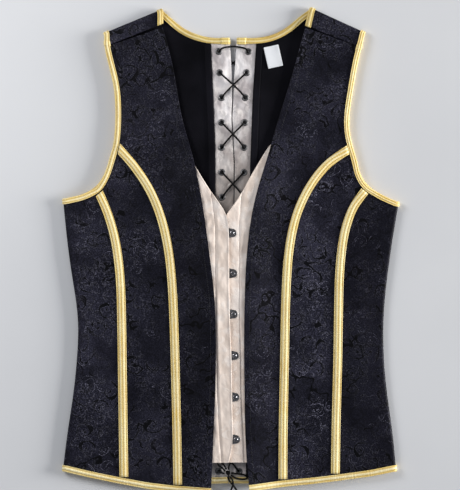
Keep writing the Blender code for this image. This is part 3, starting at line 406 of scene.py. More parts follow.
def cream_satin(name, shade, light, turn, darkens, deep, depth):
    """Pale satin whose soft creases, as deep as the depth, catch the light, with painted highlights on its
    woven swirls and in patches.

    Below the two heights in darkens the fronts shade it, as much as deep says, down to its lit foot.
    """
    made, tree, shader, place = finish_named(name, 0.3, sheen=0.1, sheen_roughness=0.35, specular=0.6)
    swirl = maths(tree, "MULTIPLY", scroll_pattern(tree, place, 0.015, 0.3, 0.0015),
                  ranged(tree, noise(tree, place, 60.0, 2.0), 0.42, 0.62))
    slow = ranged(tree, noise(tree, stretched(tree, place, (1.0, 0.6, 1.0), turn), 55.0, 2.0), 0.34, 0.66)
    ground = mixed(tree, slow, shade, light)
    up_the_vest = node(tree, "ShaderNodeSeparateXYZ", {0: place}).outputs[1]
    below = maths(tree, "SUBTRACT", 1.0, ranged(tree, up_the_vest, *darkens))
    shaded = maths(tree, "MULTIPLY", below, ranged(tree, up_the_vest, *FOOT_LIGHT))
    ground = mixed(tree, maths(tree, "MULTIPLY", shaded, deep), ground, CREAM_SHADED)
    # Painted highlights: noise patches and the woven swirls lighten the satin towards the lit cream, outside
    # the painted shade.
    painted_sheen = ranged(tree, noise(tree, place, 48.0, 3.0), 0.52, 0.66)
    swirl_and_highlight = maths(tree, "MAXIMUM", maths(tree, "MULTIPLY", swirl, 0.5), maths(tree, "MULTIPLY", painted_sheen, 0.55))
    in_the_open = maths(tree, "SUBTRACT", 1.0, shaded)
    shown = mixed(tree, maths(tree, "MULTIPLY", swirl_and_highlight, in_the_open), ground, CREAM_LIT)
    tree.links.new(shown, shader.inputs["Base Color"])
    gloss = maths(tree, "SUBTRACT", 0.36, maths(tree, "MULTIPLY", swirl, 0.08))
    tree.links.new(gloss, shader.inputs["Roughness"])
    creases = noise(tree, stretched(tree, place, (1.0, 0.7, 1.0), turn), 75.0, 2.0, 0.45)
    height = maths(tree, "ADD", creases, maths(tree, "MULTIPLY", swirl, 0.05))
    bumped(tree, shader, height, depth, 0.8)
    return made


cream = {
    "placket": cream_satin("cream_satin_placket", (0.76, 0.64, 0.56, 1.0), (0.90, 0.78, 0.70, 1.0), 0.5,
                           (-0.3, -0.2), 0.1, 0.0026),
    "strip": cream_satin("cream_satin_strips", (0.48, 0.435, 0.44, 1.0), (0.88, 0.845, 0.855, 1.0), -0.7,
                         (0.06, 0.19), 0.8, 0.0060),
}

# %% Steel, cord, threads and label
def steel_finish(name, dark, light, roughness):
    made, tree, shader, place = finish_named(name, roughness, metallic=1.0)
    rubbed = ranged(tree, noise(tree, place, 420.0, 3.0), 0.3, 0.7)
    tree.links.new(mixed(tree, rubbed, dark, light), shader.inputs["Base Color"])
    bumped(tree, shader, noise(tree, place, 900.0, 2.0), 0.0001, 0.4)
    return made


def thread_finish(name, colour, second):
    made, tree, shader, place = finish_named(name, 0.5, sheen=0.1)
    slow = ranged(tree, noise(tree, place, 120.0, 2.0), 0.3, 0.7)
    tree.links.new(mixed(tree, slow, colour, second), shader.inputs["Base Color"])
    bumped(tree, shader, noise(tree, place, 2400.0, 2.0), 0.0001, 0.5)
    return made


BRAID_STEPS, BRAID_STRANDS = 900.0, 4


def braided_cord(name):
    """Braid: two sets of strands wind round the cord in opposite ways."""
    made, tree, shader, place = finish_named(name, 0.6, sheen=0.0, specular=0.15)
    along, around = noted_value(tree, "along"), noted_value(tree, "around")
    steps = maths(tree, "MULTIPLY", along, BRAID_STEPS)
    turn = maths(tree, "MULTIPLY", around, math.tau * BRAID_STRANDS)
    one = maths(tree, "SINE", maths(tree, "ADD", maths(tree, "MULTIPLY", steps, math.tau / 2), turn))
    two = maths(tree, "SINE", maths(tree, "SUBTRACT", maths(tree, "MULTIPLY", steps, math.tau / 2), turn))
    braid = maths(tree, "ABSOLUTE", maths(tree, "MULTIPLY", one, two))
    shown = mixed(tree, braid, (0.0010, 0.0010, 0.0014, 1.0), (0.0040, 0.0040, 0.0052, 1.0))
    tree.links.new(shown, shader.inputs["Base Color"])
    bumped(tree, shader, braid, 0.0003, 0.8)
    return made


steel = steel_finish("polished_steel", (0.10, 0.10, 0.105, 1.0), (0.27, 0.265, 0.27, 1.0), 0.48)
stud_steel = steel_finish("stud_steel", (0.12, 0.12, 0.13, 1.0), (0.36, 0.36, 0.38, 1.0), 0.24)
dark_steel = steel_finish("busk_steel", (0.10, 0.10, 0.105, 1.0), (0.30, 0.30, 0.31, 1.0), 0.34)
cord_finish = braided_cord("black_cord")
gold_thread = thread_finish("gold_thread", (0.40, 0.28, 0.06, 1.0), (0.62, 0.46, 0.13, 1.0))
black_thread = thread_finish("black_thread", (0.006, 0.006, 0.010, 1.0), (0.012, 0.012, 0.018, 1.0))
label_finish = plain_satin("label_cloth", (0.70, 0.72, 0.76, 1.0), (0.78, 0.80, 0.83, 1.0), 0.6, 0.1)
print("finishes", len(bpy.data.materials))

# %% [markdown]
# ## Soft cloth from the solids
#
# A solid is a closed sheet of loose triangles. Merging its corners and joining its
# triangles in pairs gives the grid it was made from, which a subdivision surface then
# rounds. The rim keeps its place because its edges are creased, and the lines of the rim
# are kept, because seams, stitches and rolled edges all follow them.

# %% The grid of a solid and its rim lines
SHARP = math.radians(50)
CORNER = math.cos(math.radians(40))


def grid_of(solid):
    """A solid's mesh with merged corners and four-sided faces, as an editable mesh."""
    work = bmesh.new()
    work.from_mesh(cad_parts[solid].data)
    bmesh.ops.remove_doubles(work, verts=work.verts, dist=2e-6)
    bmesh.ops.join_triangles(work, faces=work.faces, angle_face_threshold=math.radians(35),
                             angle_shape_threshold=math.radians(100))
    return work


def sharp_edges(work):
    return [e for e in work.edges if len(e.link_faces) == 2 and e.calc_face_angle(0.0) > SHARP]


def rounded(points, spans=8):
    """Closely spaced points on a smooth curve through the given ones."""
    points = np.asarray(points, float)
    padded = np.vstack([2 * points[0] - points[1], points, 2 * points[-1] - points[-2]])
    t = np.linspace(0, 1, spans, endpoint=False)[:, None]
    out = []
    for i in range(1, len(padded) - 2):
        a, b, c, d = padded[i - 1 : i + 3]
        out.append(0.5 * (2 * b + (c - a) * t + (2 * a - 5 * b + 4 * c - d) * t**2
                          + (3 * b - a - 3 * c + d) * t**3))
    return np.vstack(out + [points[-1:]])


def rim_lines(work):
    """The sharp edges of a mesh as smooth lines, each ending where the rim turns a corner."""
    left = {e.index: e for e in sharp_edges(work)}
    lines = []
    while left:
        edge = left.pop(min(left))
        run = [edge.verts[0], edge.verts[1]]
        for end in (-1, 0):
            while True:
                tip, before = (run[-1], run[-2]) if end else (run[0], run[1])
                ahead = (tip.co - before.co).normalized()
                ways = [(ahead.dot((e.other_vert(tip).co - tip.co).normalized()), e)
                        for e in tip.link_edges if e.index in left]
                ways = [way for way in ways if way[0] > CORNER]
                if not ways:
                    break
                best = max(ways, key=lambda way: way[0])[1]
                del left[best.index]
                run.insert(len(run) if end else 0, best.other_vert(tip))
        lines.append(rounded([v.co for v in run]))
    return lines


def length_of(line):
    return float(np.linalg.norm(np.diff(line, axis=0), axis=1).sum())


# %% Soft pieces
def made_plain(piece):
    """Keeps what the modifiers made as a plain mesh."""
    shown = piece.evaluated_get(bpy.context.evaluated_depsgraph_get())
    mesh = bpy.data.meshes.new_from_object(shown)
    mesh.name = piece.name
    piece.modifiers.clear()
    piece.data = mesh
    return piece


def soft_copy(solid, name, levels, crease_share=1.0):
    """A subdivided copy of a solid, with its rim lines."""
    work = grid_of(solid)
    crease = work.edges.layers.float.new("crease_edge")
    for edge in sharp_edges(work):
        edge[crease] = crease_share
    lines = rim_lines(work)
    mesh = bpy.data.meshes.new(name)
    work.to_mesh(mesh)
    work.free()
    piece = bpy.data.objects.new(name, mesh)
    bpy.context.scene.collection.objects.link(piece)
    rounding = piece.modifiers.new("rounding", "SUBSURF")
    rounding.levels = rounding.render_levels = levels
    return made_plain(piece), lines


def corners_of(piece):
    flat = np.empty(len(piece.data.vertices) * 3)
    piece.data.vertices.foreach_get("co", flat)
    return flat.reshape(-1, 3)


def facing_of(piece):
    flat = np.empty(len(piece.data.vertices) * 3)
    piece.data.vertices.foreach_get("normal", flat)
    return flat.reshape(-1, 3)


def moved_to(piece, points):
    piece.data.vertices.foreach_set("co", np.asarray(points, float).reshape(-1))
    piece.data.update()


def ease(t):
    t = np.clip(t, 0.0, 1.0)
    return t * t * (3 - 2 * t)


def nearest(points, lines):
    """Distance to the nearest of the lines, and how far along that line it is."""
    places = np.vstack(lines)
    runs = np.concatenate([
        np.concatenate([[0], np.cumsum(np.linalg.norm(np.diff(line, axis=0), axis=1))]) for line in lines])
    tree = KDTree(len(places))
    for index, place in enumerate(places):
        tree.insert(place, index)
    tree.balance()
    found = [tree.find(p) for p in points]
    return np.array([f[2] for f in found]), runs[[f[1] for f in found]]


def closely(line, step):
    """The line with points no further apart than the step."""
    runs = np.concatenate([[0], np.cumsum(np.linalg.norm(np.diff(line, axis=0), axis=1))])
    wanted = np.linspace(0, runs[-1], max(2, int(runs[-1] / step) + 1))
    return np.column_stack([np.interp(wanted, runs, line[:, k]) for k in range(3)])


def noted(piece, name, values):
    """Writes one number for each corner, for the finish to read."""
    attribute = piece.data.attributes.new(name, "FLOAT", "POINT")
    attribute.data.foreach_set("value", np.asarray(values, float))


# %% [markdown]
# ## Creases that all the upper layers share
#
# The front panels, their tapes and their bindings lie on one another, so they must bend
# together. One function of place gives the height of every soft crease, and each piece
# is moved by it, less and less towards the table.

# %% Soft creases: x, y, direction in degrees, half length, half width, rise in mm
CREASES = (
    (-128, 118, 128, 60, 9, 0.9),
    (-112, 168, 118, 48, 8, -0.7),
    (-88, 196, 104, 52, 10, 0.6),
    (-92, 60, 112, 62, 9, 0.6),
    (-120, 20, 96, 60, 9, -0.5),
    (-150, -40, 84, 70, 10, 0.7),
    (-176, -110, 96, 62, 10, -0.6),
    (-108, -150, 90, 80, 10, 0.5),
    (-50, -60, 92, 70, 9, -0.5),
    (-44, -190, 88, 60, 8, 0.5),
    (-160, -220, 80, 52, 10, 0.6),
    (-84, -240, 94, 44, 8, -0.4),
    (122, 196, 64, 50, 9, 0.8),
    (106, 150, 72, 52, 8, -0.6),
    (134, 120, 48, 52, 9, 0.8),
    (96, 70, 66, 66, 9, 0.6),
    (118, 10, 80, 66, 9, -0.5),
    (158, -30, 96, 66, 10, 0.7),
    (178, -120, 84, 62, 10, -0.6),
    (104, -120, 90, 84, 9, 0.5),
    (54, -40, 88, 74, 8, -0.5),
    (46, -170, 92, 66, 8, 0.5),
    (156, -210, 100, 56, 10, 0.6),
    (92, -250, 86, 40, 8, -0.4),
)


def crease_height(points):
    """Rise of the soft creases at each point, in metres."""
    x, y = points[:, 0] / MM, points[:, 1] / MM
    total = np.zeros(len(points))
    for at_x, at_y, direction, length, width, rise in CREASES:
        turn = math.radians(direction)
        run = (x - at_x) * math.cos(turn) + (y - at_y) * math.sin(turn)
        off = (y - at_y) * math.cos(turn) - (x - at_x) * math.sin(turn)
        total += rise * np.exp(-((run / length) ** 2) - (off / width) ** 2)
    return total * MM


def waves(points, lengths, seed, count=14):
    """Smooth unevenness from -1 to 1, with waves of about the given lengths in metres."""
    chance = np.random.default_rng(seed)
    total = np.zeros(len(points))
    for _ in range(count):
        turn = chance.uniform(0, math.pi)
        length = chance.uniform(*lengths)
        phase = (points[:, 0] * math.cos(turn) + points[:, 1] * math.sin(turn)) / length
        total += np.sin(phase * math.tau + chance.uniform(0, math.tau))
    return total / (2.0 * math.sqrt(count))


def settle_upper(piece):
    """Bends a piece of the upper layers with the shared creases."""
    points = corners_of(piece)
    share = ease((points[:, 2] - 3.0 * MM) / (3.6 * MM))
    points[:, 2] += share * (crease_height(points) + 0.22 * MM * waves(points, (0.030, 0.075), 5))
    moved_to(piece, points)


def settle_lower(piece):
    """A little unevenness in the back, which the table holds flat from below."""
    points = corners_of(piece)
    share = ease((points[:, 2] - 1.0 * MM) / (1.5 * MM)) * ease((6.2 * MM - points[:, 2]) / (2.0 * MM))
    points[:, 2] += share * 0.35 * MM * waves(points, (0.020, 0.060), 9)
    points[:, 2] = np.maximum(points[:, 2], 0.0)
    moved_to(piece, points)


def dressed(piece, finish, slot, *solids):
    """Gives a finished piece its material, smooth shading and body, and hides the solids it replaces."""
    piece.data.materials.clear()
    piece.data.materials.append(finish)
    piece.data.shade_smooth()
    piece.data.set_sharp_from_angle(angle=SHARP)
    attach(piece, "root")
    if solids:
        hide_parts(*solids)
    return piece


# %% [markdown]
# ## Panels of black jacquard
#
# Each panel keeps its own cut of the pattern. Its edges are turned over, so the rim is
# rounded a little, and the front opening edge is stitched down some millimetres inside.
# A cloth simulation could settle them, but listed soft creases run faster and come
# out the same each time.

# %% Front panels
pieces = {}
rims = {}
for side in SIDES:
    for panel in ("front_centre", "front_middle", "side"):
        solid = panel + "_" + side
        piece, rims[solid] = soft_copy(solid, "cloth_" + solid, 3, 0.55)
        settle_upper(piece)
        pieces[solid] = dressed(piece, jacquards[solid], "black_cloth", solid)
print("front panels", len(pieces))

# %% Back and bone casings
YOKE_FROM, YOKE_OUT, FOLD_MIDDLE = 248.0, 78.0, 4.95


def jacquard_outside(piece, cloth):
    """Gives the outside of the back, which shows on the shoulder, the cloth of the front."""
    piece.data.materials.append(cloth)
    count = len(piece.data.polygons)
    middle, facing = np.empty(count * 3), np.empty(count * 3)
    piece.data.polygons.foreach_get("center", middle)
    piece.data.polygons.foreach_get("normal", facing)
    middle, facing = middle.reshape(-1, 3) / MM, facing.reshape(-1, 3)
    over = (middle[:, 1] > YOKE_FROM) & (abs(middle[:, 0]) > YOKE_OUT)
    outwards = facing[:, 2] * (middle[:, 2] - FOLD_MIDDLE) + 0.5 * facing[:, 1]
    outside = np.where(over, outwards > 0, facing[:, 2] < 0)
    piece.data.polygons.foreach_set("material_index", outside.astype(np.int32))


for side in SIDES:
    for panel in ("back_", "bone_casing_"):
        solid = panel + side
        piece, rims[solid] = soft_copy(solid, "cloth_" + solid, 2, 0.55)
        settle_upper(piece)
        if panel == "back_":
            settle_lower(piece)
        pieces[solid] = dressed(piece, lining, "black_lining", solid)
        if panel == "back_":
            jacquard_outside(piece, jacquards[solid])
print("panels", len(pieces), "faces", sum(len(p.data.polygons) for p in pieces.values()))

# %% [markdown]
# ## Gold tapes and bindings
#
# The tape over each seam is a bone channel: its two edges are stitched flat and the bone
# between them pushes up a round ridge. The binding is folded over the edge and stitched
# near its inner edge, so it is puffed between the fold and the stitches.


# %% Cross sections, in mm from the band's edge
STITCH_LINE, TAPE_MIDDLE, BONE_HALF = 1.5, 5.4, 3.7


def tape_rise(distance):
    """Height over a tape at this distance in mm from its edge."""
    lip = 0.16 * np.exp(-((distance - 0.55) / 0.45) ** 2)
    groove = -0.22 * np.exp(-((distance - STITCH_LINE) / 0.38) ** 2)
    from_middle = TAPE_MIDDLE - np.minimum(distance, TAPE_MIDDLE)
    bone = 0.95 * np.sqrt(np.clip(1 - (from_middle / BONE_HALF) ** 2, 0, 1))
    middle = -0.30 * np.exp(-((distance - TAPE_MIDDLE) / 0.7) ** 2)
    return lip + groove + bone + middle


def binding_rise(distance):
    """Height over a binding at this distance in mm from its stitched edge."""
    lip = 0.20 * np.exp(-((distance - 0.5) / 0.4) ** 2)
    groove = -0.32 * np.exp(-((distance - STITCH_LINE) / 0.45) ** 2)
    body = 0.60 * np.sin(np.clip((distance - 1.9) / 4.2, 0, 1) * math.pi)
    return lip + groove + body


def raised(piece, lines, profile, pucker, seed):
    """Shapes the upward side of a band by the distance from its edges."""
    points, facing = corners_of(piece), facing_of(piece)
    edges = [closely(line, 0.8 * MM) for line in lines if length_of(line) > 30 * MM]
    distance, _ = nearest(points, edges)
    _, run = nearest(points, [max(edges, key=len)])
    noted(piece, "along", run)
    noted(piece, "across", distance)
    up = ease((facing[:, 2] - 0.35) / 0.4)
    chance = np.random.default_rng(seed)
    wave = sum(np.sin(run / (length * MM) * math.tau + chance.uniform(0, math.tau))
               for length in (3.1, 4.3, 6.7, 11.0)) / 4
    body = ease((distance / MM - 1.6) / 1.2)
    rise = profile(distance / MM) + pucker * wave * body
    points[:, 2] += up * rise * MM
    moved_to(piece, points)


# %% Laps, where one end of a binding is folded over: middle, way, half length and lift in mm
LAPS = {
    "armhole_binding_left": ((-157.4, 257.0), (0.10, 1.0), 2.9, 0.55),
    "armhole_binding_right": ((163.4, 252.6), (-0.12, 1.0), 3.6, 0.55),
    "neck_binding_left": ((-6.6, 259.6), (1.0, 0.10), 5.6, 0.60),
    "neck_binding_right": ((13.4, 259.6), (1.0, -0.10), 5.6, 0.60),
}


def lapped(piece, centre, way, half, lift):
    """Doubles the band over a short length, with a clear step at both of its ends."""
    work = bmesh.new()
    work.from_mesh(piece.data)
    centre = np.array(centre) * MM
    way = np.array(way) / np.hypot(*way)
    near = []
    for face in work.faces:
        middle = np.array(face.calc_center_median())
        run = (middle[:2] - centre) @ way
        off = (middle[:2] - centre) @ np.array([-way[1], way[0]])
        if abs(run) < (half + 5.0) * MM and abs(off) < 9.0 * MM:
            near.append(face)
    level = np.median([face.calc_center_median().z for face in near])
    faces = [f for f in near if f.normal.z > -0.3 and f.calc_center_median().z > level - 0.6 * MM]
    lap = bmesh.ops.duplicate(work, geom=faces)["geom"]
    for sign in (1.0, -1.0):
        edge = centre + way * sign * half * MM
        cut = bmesh.ops.bisect_plane(work, geom=lap, plane_co=(*edge, 0.0), plane_no=(*(way * sign), 0.0),
                                     clear_outer=True, dist=1e-7)
        lap = [item for item in cut["geom"] if item.is_valid]
    upper = [item for item in lap if isinstance(item, bmesh.types.BMFace)]
    corners = {v: v.normal.copy() for face in upper for v in face.verts}
    for v, normal in corners.items():
        v.co += normal * lift * MM
    rim = [e for e in {e for f in upper for e in f.edges} if len(e.link_faces) == 1]
    grown = bmesh.ops.extrude_edge_only(work, edges=rim)["geom"]
    for v in (item for item in grown if isinstance(item, bmesh.types.BMVert)):
        source = min(corners, key=lambda c: (c.co - v.co).length)
        v.co -= corners[source] * (lift + 0.3) * MM
    # Nothing may sink into the table.
    for v in work.verts:
        v.co.z = max(v.co.z, 0.0)
    work.normal_update()
    work.to_mesh(piece.data)
    work.free()
    piece.data.update()


# %% Tapes and bindings
for side in SIDES:
    for seed, band in enumerate(("inner_tape", "outer_tape")):
        solid = band + "_" + side
        piece, rims[solid] = soft_copy(solid, "cloth_" + solid, 3)
        raised(piece, rims[solid], tape_rise, 0.10, seed)
        settle_upper(piece)
        pieces[solid] = dressed(piece, gold, "gold_satin", solid)
    for seed, band in enumerate(("armhole_binding", "hem_binding", "neck_binding")):
        solid = band + "_" + side
        piece, rims[solid] = soft_copy(solid, "cloth_" + solid, 3)
        raised(piece, rims[solid], binding_rise, 0.16, seed + 20)
        settle_upper(piece)
        if solid in LAPS:
            lapped(piece, *LAPS[solid])
        satin = shaded_neck_gold if band == "neck_binding" else gold
        pieces[solid] = dressed(piece, satin, "gold_satin", solid)
bands = [solid for solid in rims if "tape" in solid or "binding" in solid]
print("bands", {solid: round(length_of(max(rims[solid], key=length_of)), 3) for solid in bands})

# %% [markdown]
# ## Cream placket
#
# Both halves of the placket hold a flat steel busk in a sewn channel, so they are raised
# beside the opening and sink at the channel's stitching.

# %% Placket channels: y, x of the stitching on the left half and on the right half, in mm
CHANNELS = (
    (-268, -11.0, 17.1),
    (-242, -13.0, 16.4),
    (-207, -15.2, 14.6),
    (-176, -16.6, 12.9),
    (-135, -17.6, 12.9),
    (-91, -18.4, 10.9),
    (30, -18.8, 10.9),
    (70, -24.0, 14.0),
    (140, -60.0, 44.0),
)


def placket_rise(points, side, edge_distance):
    """Rolled edge, busk ridge, stitched groove and satin puckers, in mm."""
    table = np.array(CHANNELS)
    y = points[:, 1] / MM
    line = np.interp(y, table[:, 0], table[:, 1 if side == "left" else 2])
    inside = (line - points[:, 0] / MM) * SIGN[side]
    groove = -1.05 * np.exp(-((inside / 1.0) ** 2))
    patchy = np.clip(0.5 + 1.1 * waves(points, (0.022, 0.060), 35), 0.0, 1.4)
    ridge = 0.35 * ease(inside / 3.0) + 0.26 * patchy * np.exp(-(((inside - 2.6) / 1.7) ** 2))
    beyond = 0.18 * (1.2 - patchy) * np.exp(-(((inside + 3.4) / 2.0) ** 2))
    roll = 0.60 * np.exp(-(((edge_distance - 0.8) / 0.9) ** 2))
    slant = np.column_stack([points[:, 0] * 0.8 + points[:, 1] * 0.35,
                             points[:, 1] * 0.6 - points[:, 0] * 0.5])
    pucker = 0.50 * waves(slant, (0.007, 0.017), 31 if side == "left" else 32, 18)
    soft = 0.62 * waves(points, (0.016, 0.040), 33)
    calm = (0.35 + 0.65 * ease((abs(inside) - 1.0) / 2.0)) * ease(edge_distance / 3.0)
    calm *= 0.40 + 0.60 * ease((y + 150.0) / 180.0)
    return groove + ridge + beyond + roll + (pucker + soft) * calm


for side in SIDES:
    solid = "placket_" + side
    piece, rims[solid] = soft_copy(solid, "cloth_" + solid, 4, 0.5)
    points, facing = corners_of(piece), facing_of(piece)
    edges = [closely(line, 0.8 * MM) for line in rims[solid] if length_of(line) > 30 * MM]
    edge_distance = nearest(points, edges)[0] / MM
    rise = placket_rise(points, side, edge_distance)
    points[:, 2] += ease((facing[:, 2] - 0.2) / 0.5) * rise * MM
    moved_to(piece, points)
    pieces[solid] = dressed(piece, cream["placket"], "cream_satin", solid)
    print(solid, len(piece.data.polygons), "faces")

# %% [markdown]
# ## Lacing strips
#
# The cream satin strips pucker around every eyelet, because the lace pulls at it. Each
# strip is a fine grid between its two edges, and the holes go right through.

# %% Lacing strips: y, x of the left strip's two edges, x of the right strip's two edges
# The tables below count x from a line that lies this far to the left of the frame's origin.
MIDDLE_X = 0.6
STRIPS = (
    (-293.4, -24.0, -2.6, -1.4, 19.6),
    (-200, -22.6, -0.8, 0.4, 20.6),
    (-100, -21.0, 1.0, 2.2, 22.0),
    (0, -19.6, 2.8, 4.0, 23.2),
    (66, -18.8, 4.0, 5.4, 24.4),
    (108, -18.8, 4.2, 5.6, 25.0),
    (135, -19.1, 2.8, 4.2, 26.2),
    (166, -20.4, 1.2, 2.6, 27.2),
    (186, -21.4, 2.2, 3.8, 27.9),
    (211, -22.4, 2.0, 4.6, 29.4),
    (236, -23.4, 0.9, 6.5, 31.2),
    (263.1, -24.4, -0.6, 7.9, 32.8),
)
STRIP_FROM, STRIP_TO = -292.0, 262.8
STRIP_BOTTOM, STRIP_TOP = 4.6, 6.0
EYELETS = (
    (-278, -14.8, 10.9),
    (65, -10.4, 16.9),
    (127, -11.0, 17.1),
    (190, -11.1, 18.7),
    (221, -13.4, 20.2),
    (247, -14.6, 22.4),
)
ROWS = 18
FIRST_ROW, SECOND_ROW, LAST_ROW = 247.0, 220.5, -278.0
HOLE = 2.4
PUNCH_DEPTH, PUNCH_LEVEL = 8.0, 5.2

row_ys = [FIRST_ROW] + [float(y) for y in np.linspace(SECOND_ROW, LAST_ROW, ROWS - 1)]
eyelets = {}
for side in SIDES:
    table = np.array(EYELETS)
    xs = np.interp(row_ys, table[:, 0], table[:, 1 if side == "left" else 2])
    eyelets[side] = [(float(x) - MIDDLE_X, y) for x, y in zip(xs, row_ys)]


def strip_piece(side):
    """A grid of cloth with two faces and a rim, puckered around its eyelets."""
    table = np.array(STRIPS)
    ys = np.linspace(STRIP_FROM, STRIP_TO, 260)
    first = 1 if side == "left" else 3
    low = np.interp(ys, table[:, 0], table[:, first]) - MIDDLE_X + (0.3 if side == "left" else 0.0)
    high = np.interp(ys, table[:, 0], table[:, first + 1]) - MIDDLE_X - (0.3 if side == "right" else 0.0)
    shares = np.linspace(0, 1, 17)
    x = low[:, None] * (1 - shares) + high[:, None] * shares
    y = np.repeat(ys[:, None], len(shares), axis=1)
    flat = np.column_stack([x.ravel() * MM, y.ravel() * MM])
    away = np.min([np.hypot(x.ravel() - ex, y.ravel() - ey) for ex, ey in eyelets[side]], axis=0)
    free = ease((away - 4.6) / 3.0)
    rim = ease(np.minimum(x - low[:, None], high[:, None] - x).ravel() / 1.4)
    slant = np.column_stack([flat[:, 0] * 0.75 + flat[:, 1] * 0.45, flat[:, 1] * 0.6 - flat[:, 0] * 0.55])
    drop = 0.60 * (1 - waves(flat, (0.008, 0.020), 41 + len(side), 20)) * free
    drop -= 0.38 * waves(slant, (0.0045, 0.010), 61 + len(side), 16) * free
    drop += 0.35 * (1 - rim)
    grid_size = x.size
    upper = np.column_stack([flat, np.full(grid_size, STRIP_TOP * MM) - drop * MM * 0.62])
    lower = np.column_stack([flat, np.full(grid_size, STRIP_BOTTOM * MM) - drop * MM * 0.35])
    columns = len(shares)
    faces = []
    for r in range(len(ys) - 1):
        for c in range(columns - 1):
            a = r * columns + c
            quad = (a, a + 1, a + 1 + columns, a + columns)
            faces += [quad, tuple(i + grid_size for i in reversed(quad))]
    ring = list(range(columns)) + [r * columns + columns - 1 for r in range(1, len(ys))]
    ring += list(range((len(ys) - 1) * columns + columns - 2, (len(ys) - 1) * columns - 1, -1))
    ring += [r * columns for r in range(len(ys) - 2, 0, -1)]
    for a, b in zip(ring, ring[1:] + ring[:1]):
        faces.append((a, a + grid_size, b + grid_size, b))
    mesh = bpy.data.meshes.new("cloth_lacing_strip_" + side)
    mesh.from_pydata([tuple(p) for p in np.vstack([upper, lower])], [], faces)
    strip = bpy.data.objects.new(mesh.name, mesh)
    bpy.context.scene.collection.objects.link(strip)
    work = bmesh.new()
    for ex, ey in eyelets[side]:
        made = bmesh.ops.create_cone(work, cap_ends=True, segments=20, radius1=HOLE * MM,
                                     radius2=HOLE * MM, depth=PUNCH_DEPTH * MM)
        bmesh.ops.translate(work, verts=made["verts"], vec=(ex * MM, ey * MM, PUNCH_LEVEL * MM))
    punch_mesh = bpy.data.meshes.new("punch")
    work.to_mesh(punch_mesh)
    work.free()
    punch = bpy.data.objects.new("punch", punch_mesh)
    bpy.context.scene.collection.objects.link(punch)
    holes = strip.modifiers.new("holes", "BOOLEAN")
    holes.operation = "DIFFERENCE"
    holes.solver = "EXACT"
    holes.object = punch
    made_plain(strip)
    bpy.data.objects.remove(punch)
    return strip


for side in SIDES:
    solid = "lacing_strip_" + side
    pieces[solid] = dressed(strip_piece(side), cream["strip"], "cream_satin", solid)
    print(solid, len(pieces[solid].data.polygons), "faces")

# %% [markdown]
# ## One shape, many places
#
# Eyelets, busk parts and stitches are one small shape repeated. A Geometry Nodes tree puts
# the shape on every point of a mesh, turned by the point's own numbers, then makes it
# real, because an exported model can't hold instances.


# %% Geometry Nodes: a shape on every point
def repeat_tree(name):
    """The tree that repeats a shape on points and gives it a finish."""
    tree = bpy.data.node_groups.new(name, "GeometryNodeTree")
    tree.interface.new_socket("Geometry", in_out="INPUT", socket_type="NodeSocketGeometry")
    for label, kind in (("Shape", "NodeSocketObject"), ("Finish", "NodeSocketMaterial")):
        tree.interface.new_socket(label, in_out="INPUT", socket_type=kind)
    tree.interface.new_socket("Geometry", in_out="OUTPUT", socket_type="NodeSocketGeometry")
    start = tree.nodes.new("NodeGroupInput")
    end = tree.nodes.new("NodeGroupOutput")
    shape = tree.nodes.new("GeometryNodeObjectInfo")
    turn = tree.nodes.new("GeometryNodeInputNamedAttribute")
    turn.data_type = "FLOAT_VECTOR"
    turn.inputs["Name"].default_value = "turn"
    placed = tree.nodes.new("GeometryNodeInstanceOnPoints")
    real = tree.nodes.new("GeometryNodeRealizeInstances")
    painted = tree.nodes.new("GeometryNodeSetMaterial")
    join = tree.links.new
    join(start.outputs["Shape"], shape.inputs["Object"])
    join(start.outputs["Geometry"], placed.inputs["Points"])
    join(shape.outputs["Geometry"], placed.inputs["Instance"])
    join(turn.outputs["Attribute"], placed.inputs["Rotation"])
    join(placed.outputs["Instances"], real.inputs["Geometry"])
    join(real.outputs["Geometry"], painted.inputs["Geometry"])
    join(start.outputs["Finish"], painted.inputs["Material"])
    join(painted.outputs["Geometry"], end.inputs["Geometry"])
    return tree


repeat_nodes = repeat_tree("repeat_on_points")


def repeated(name, places, turns, shape, finish):
    """The shape on every place, as one plain mesh."""
    mesh = bpy.data.meshes.new(name)
    mesh.from_pydata([tuple(p) for p in places], [], [])
    turn = mesh.attributes.new("turn", "FLOAT_VECTOR", "POINT")
    turn.data.foreach_set("vector", np.asarray(turns, float).reshape(-1))
    piece = bpy.data.objects.new(name, mesh)
    bpy.context.scene.collection.objects.link(piece)
    repeat = piece.modifiers.new("repeat", "NODES")
    repeat.node_group = repeat_nodes
    for item in repeat_nodes.interface.items_tree:
        if item.name == "Shape":
            repeat[item.identifier] = shape
        if item.name == "Finish":
            repeat[item.identifier] = finish
    made_plain(piece)
    bpy.data.objects.remove(shape)
    return piece


def turned_shape(name, profile, sides):
    """A closed ring or a solid turned round the upright axis, from radius and height in mm."""
    angles = np.linspace(0, math.tau, sides, endpoint=False)
    work = bmesh.new()
    rings = [[work.verts.new((r * math.cos(a) * MM, r * math.sin(a) * MM, z * MM)) for r, z in profile]
             for a in angles]
    closed = profile[0] != profile[-1] and min(r for r, _ in profile) > 0.01
    count = len(profile)
    for i in range(sides):
        here, there = rings[i], rings[(i + 1) % sides]
        for k in range(count if closed else count - 1):
            m = (k + 1) % count
            work.faces.new((here[k], there[k], there[m], here[m]))
    bmesh.ops.remove_doubles(work, verts=work.verts, dist=1e-7)
    bmesh.ops.recalc_face_normals(work, faces=work.faces)
    for face in work.faces:
        face.smooth = True
    mesh = bpy.data.meshes.new(name)
    work.to_mesh(mesh)
    work.free()
    shape = bpy.data.objects.new(name, mesh)
    bpy.context.scene.collection.objects.link(shape)
    return shape


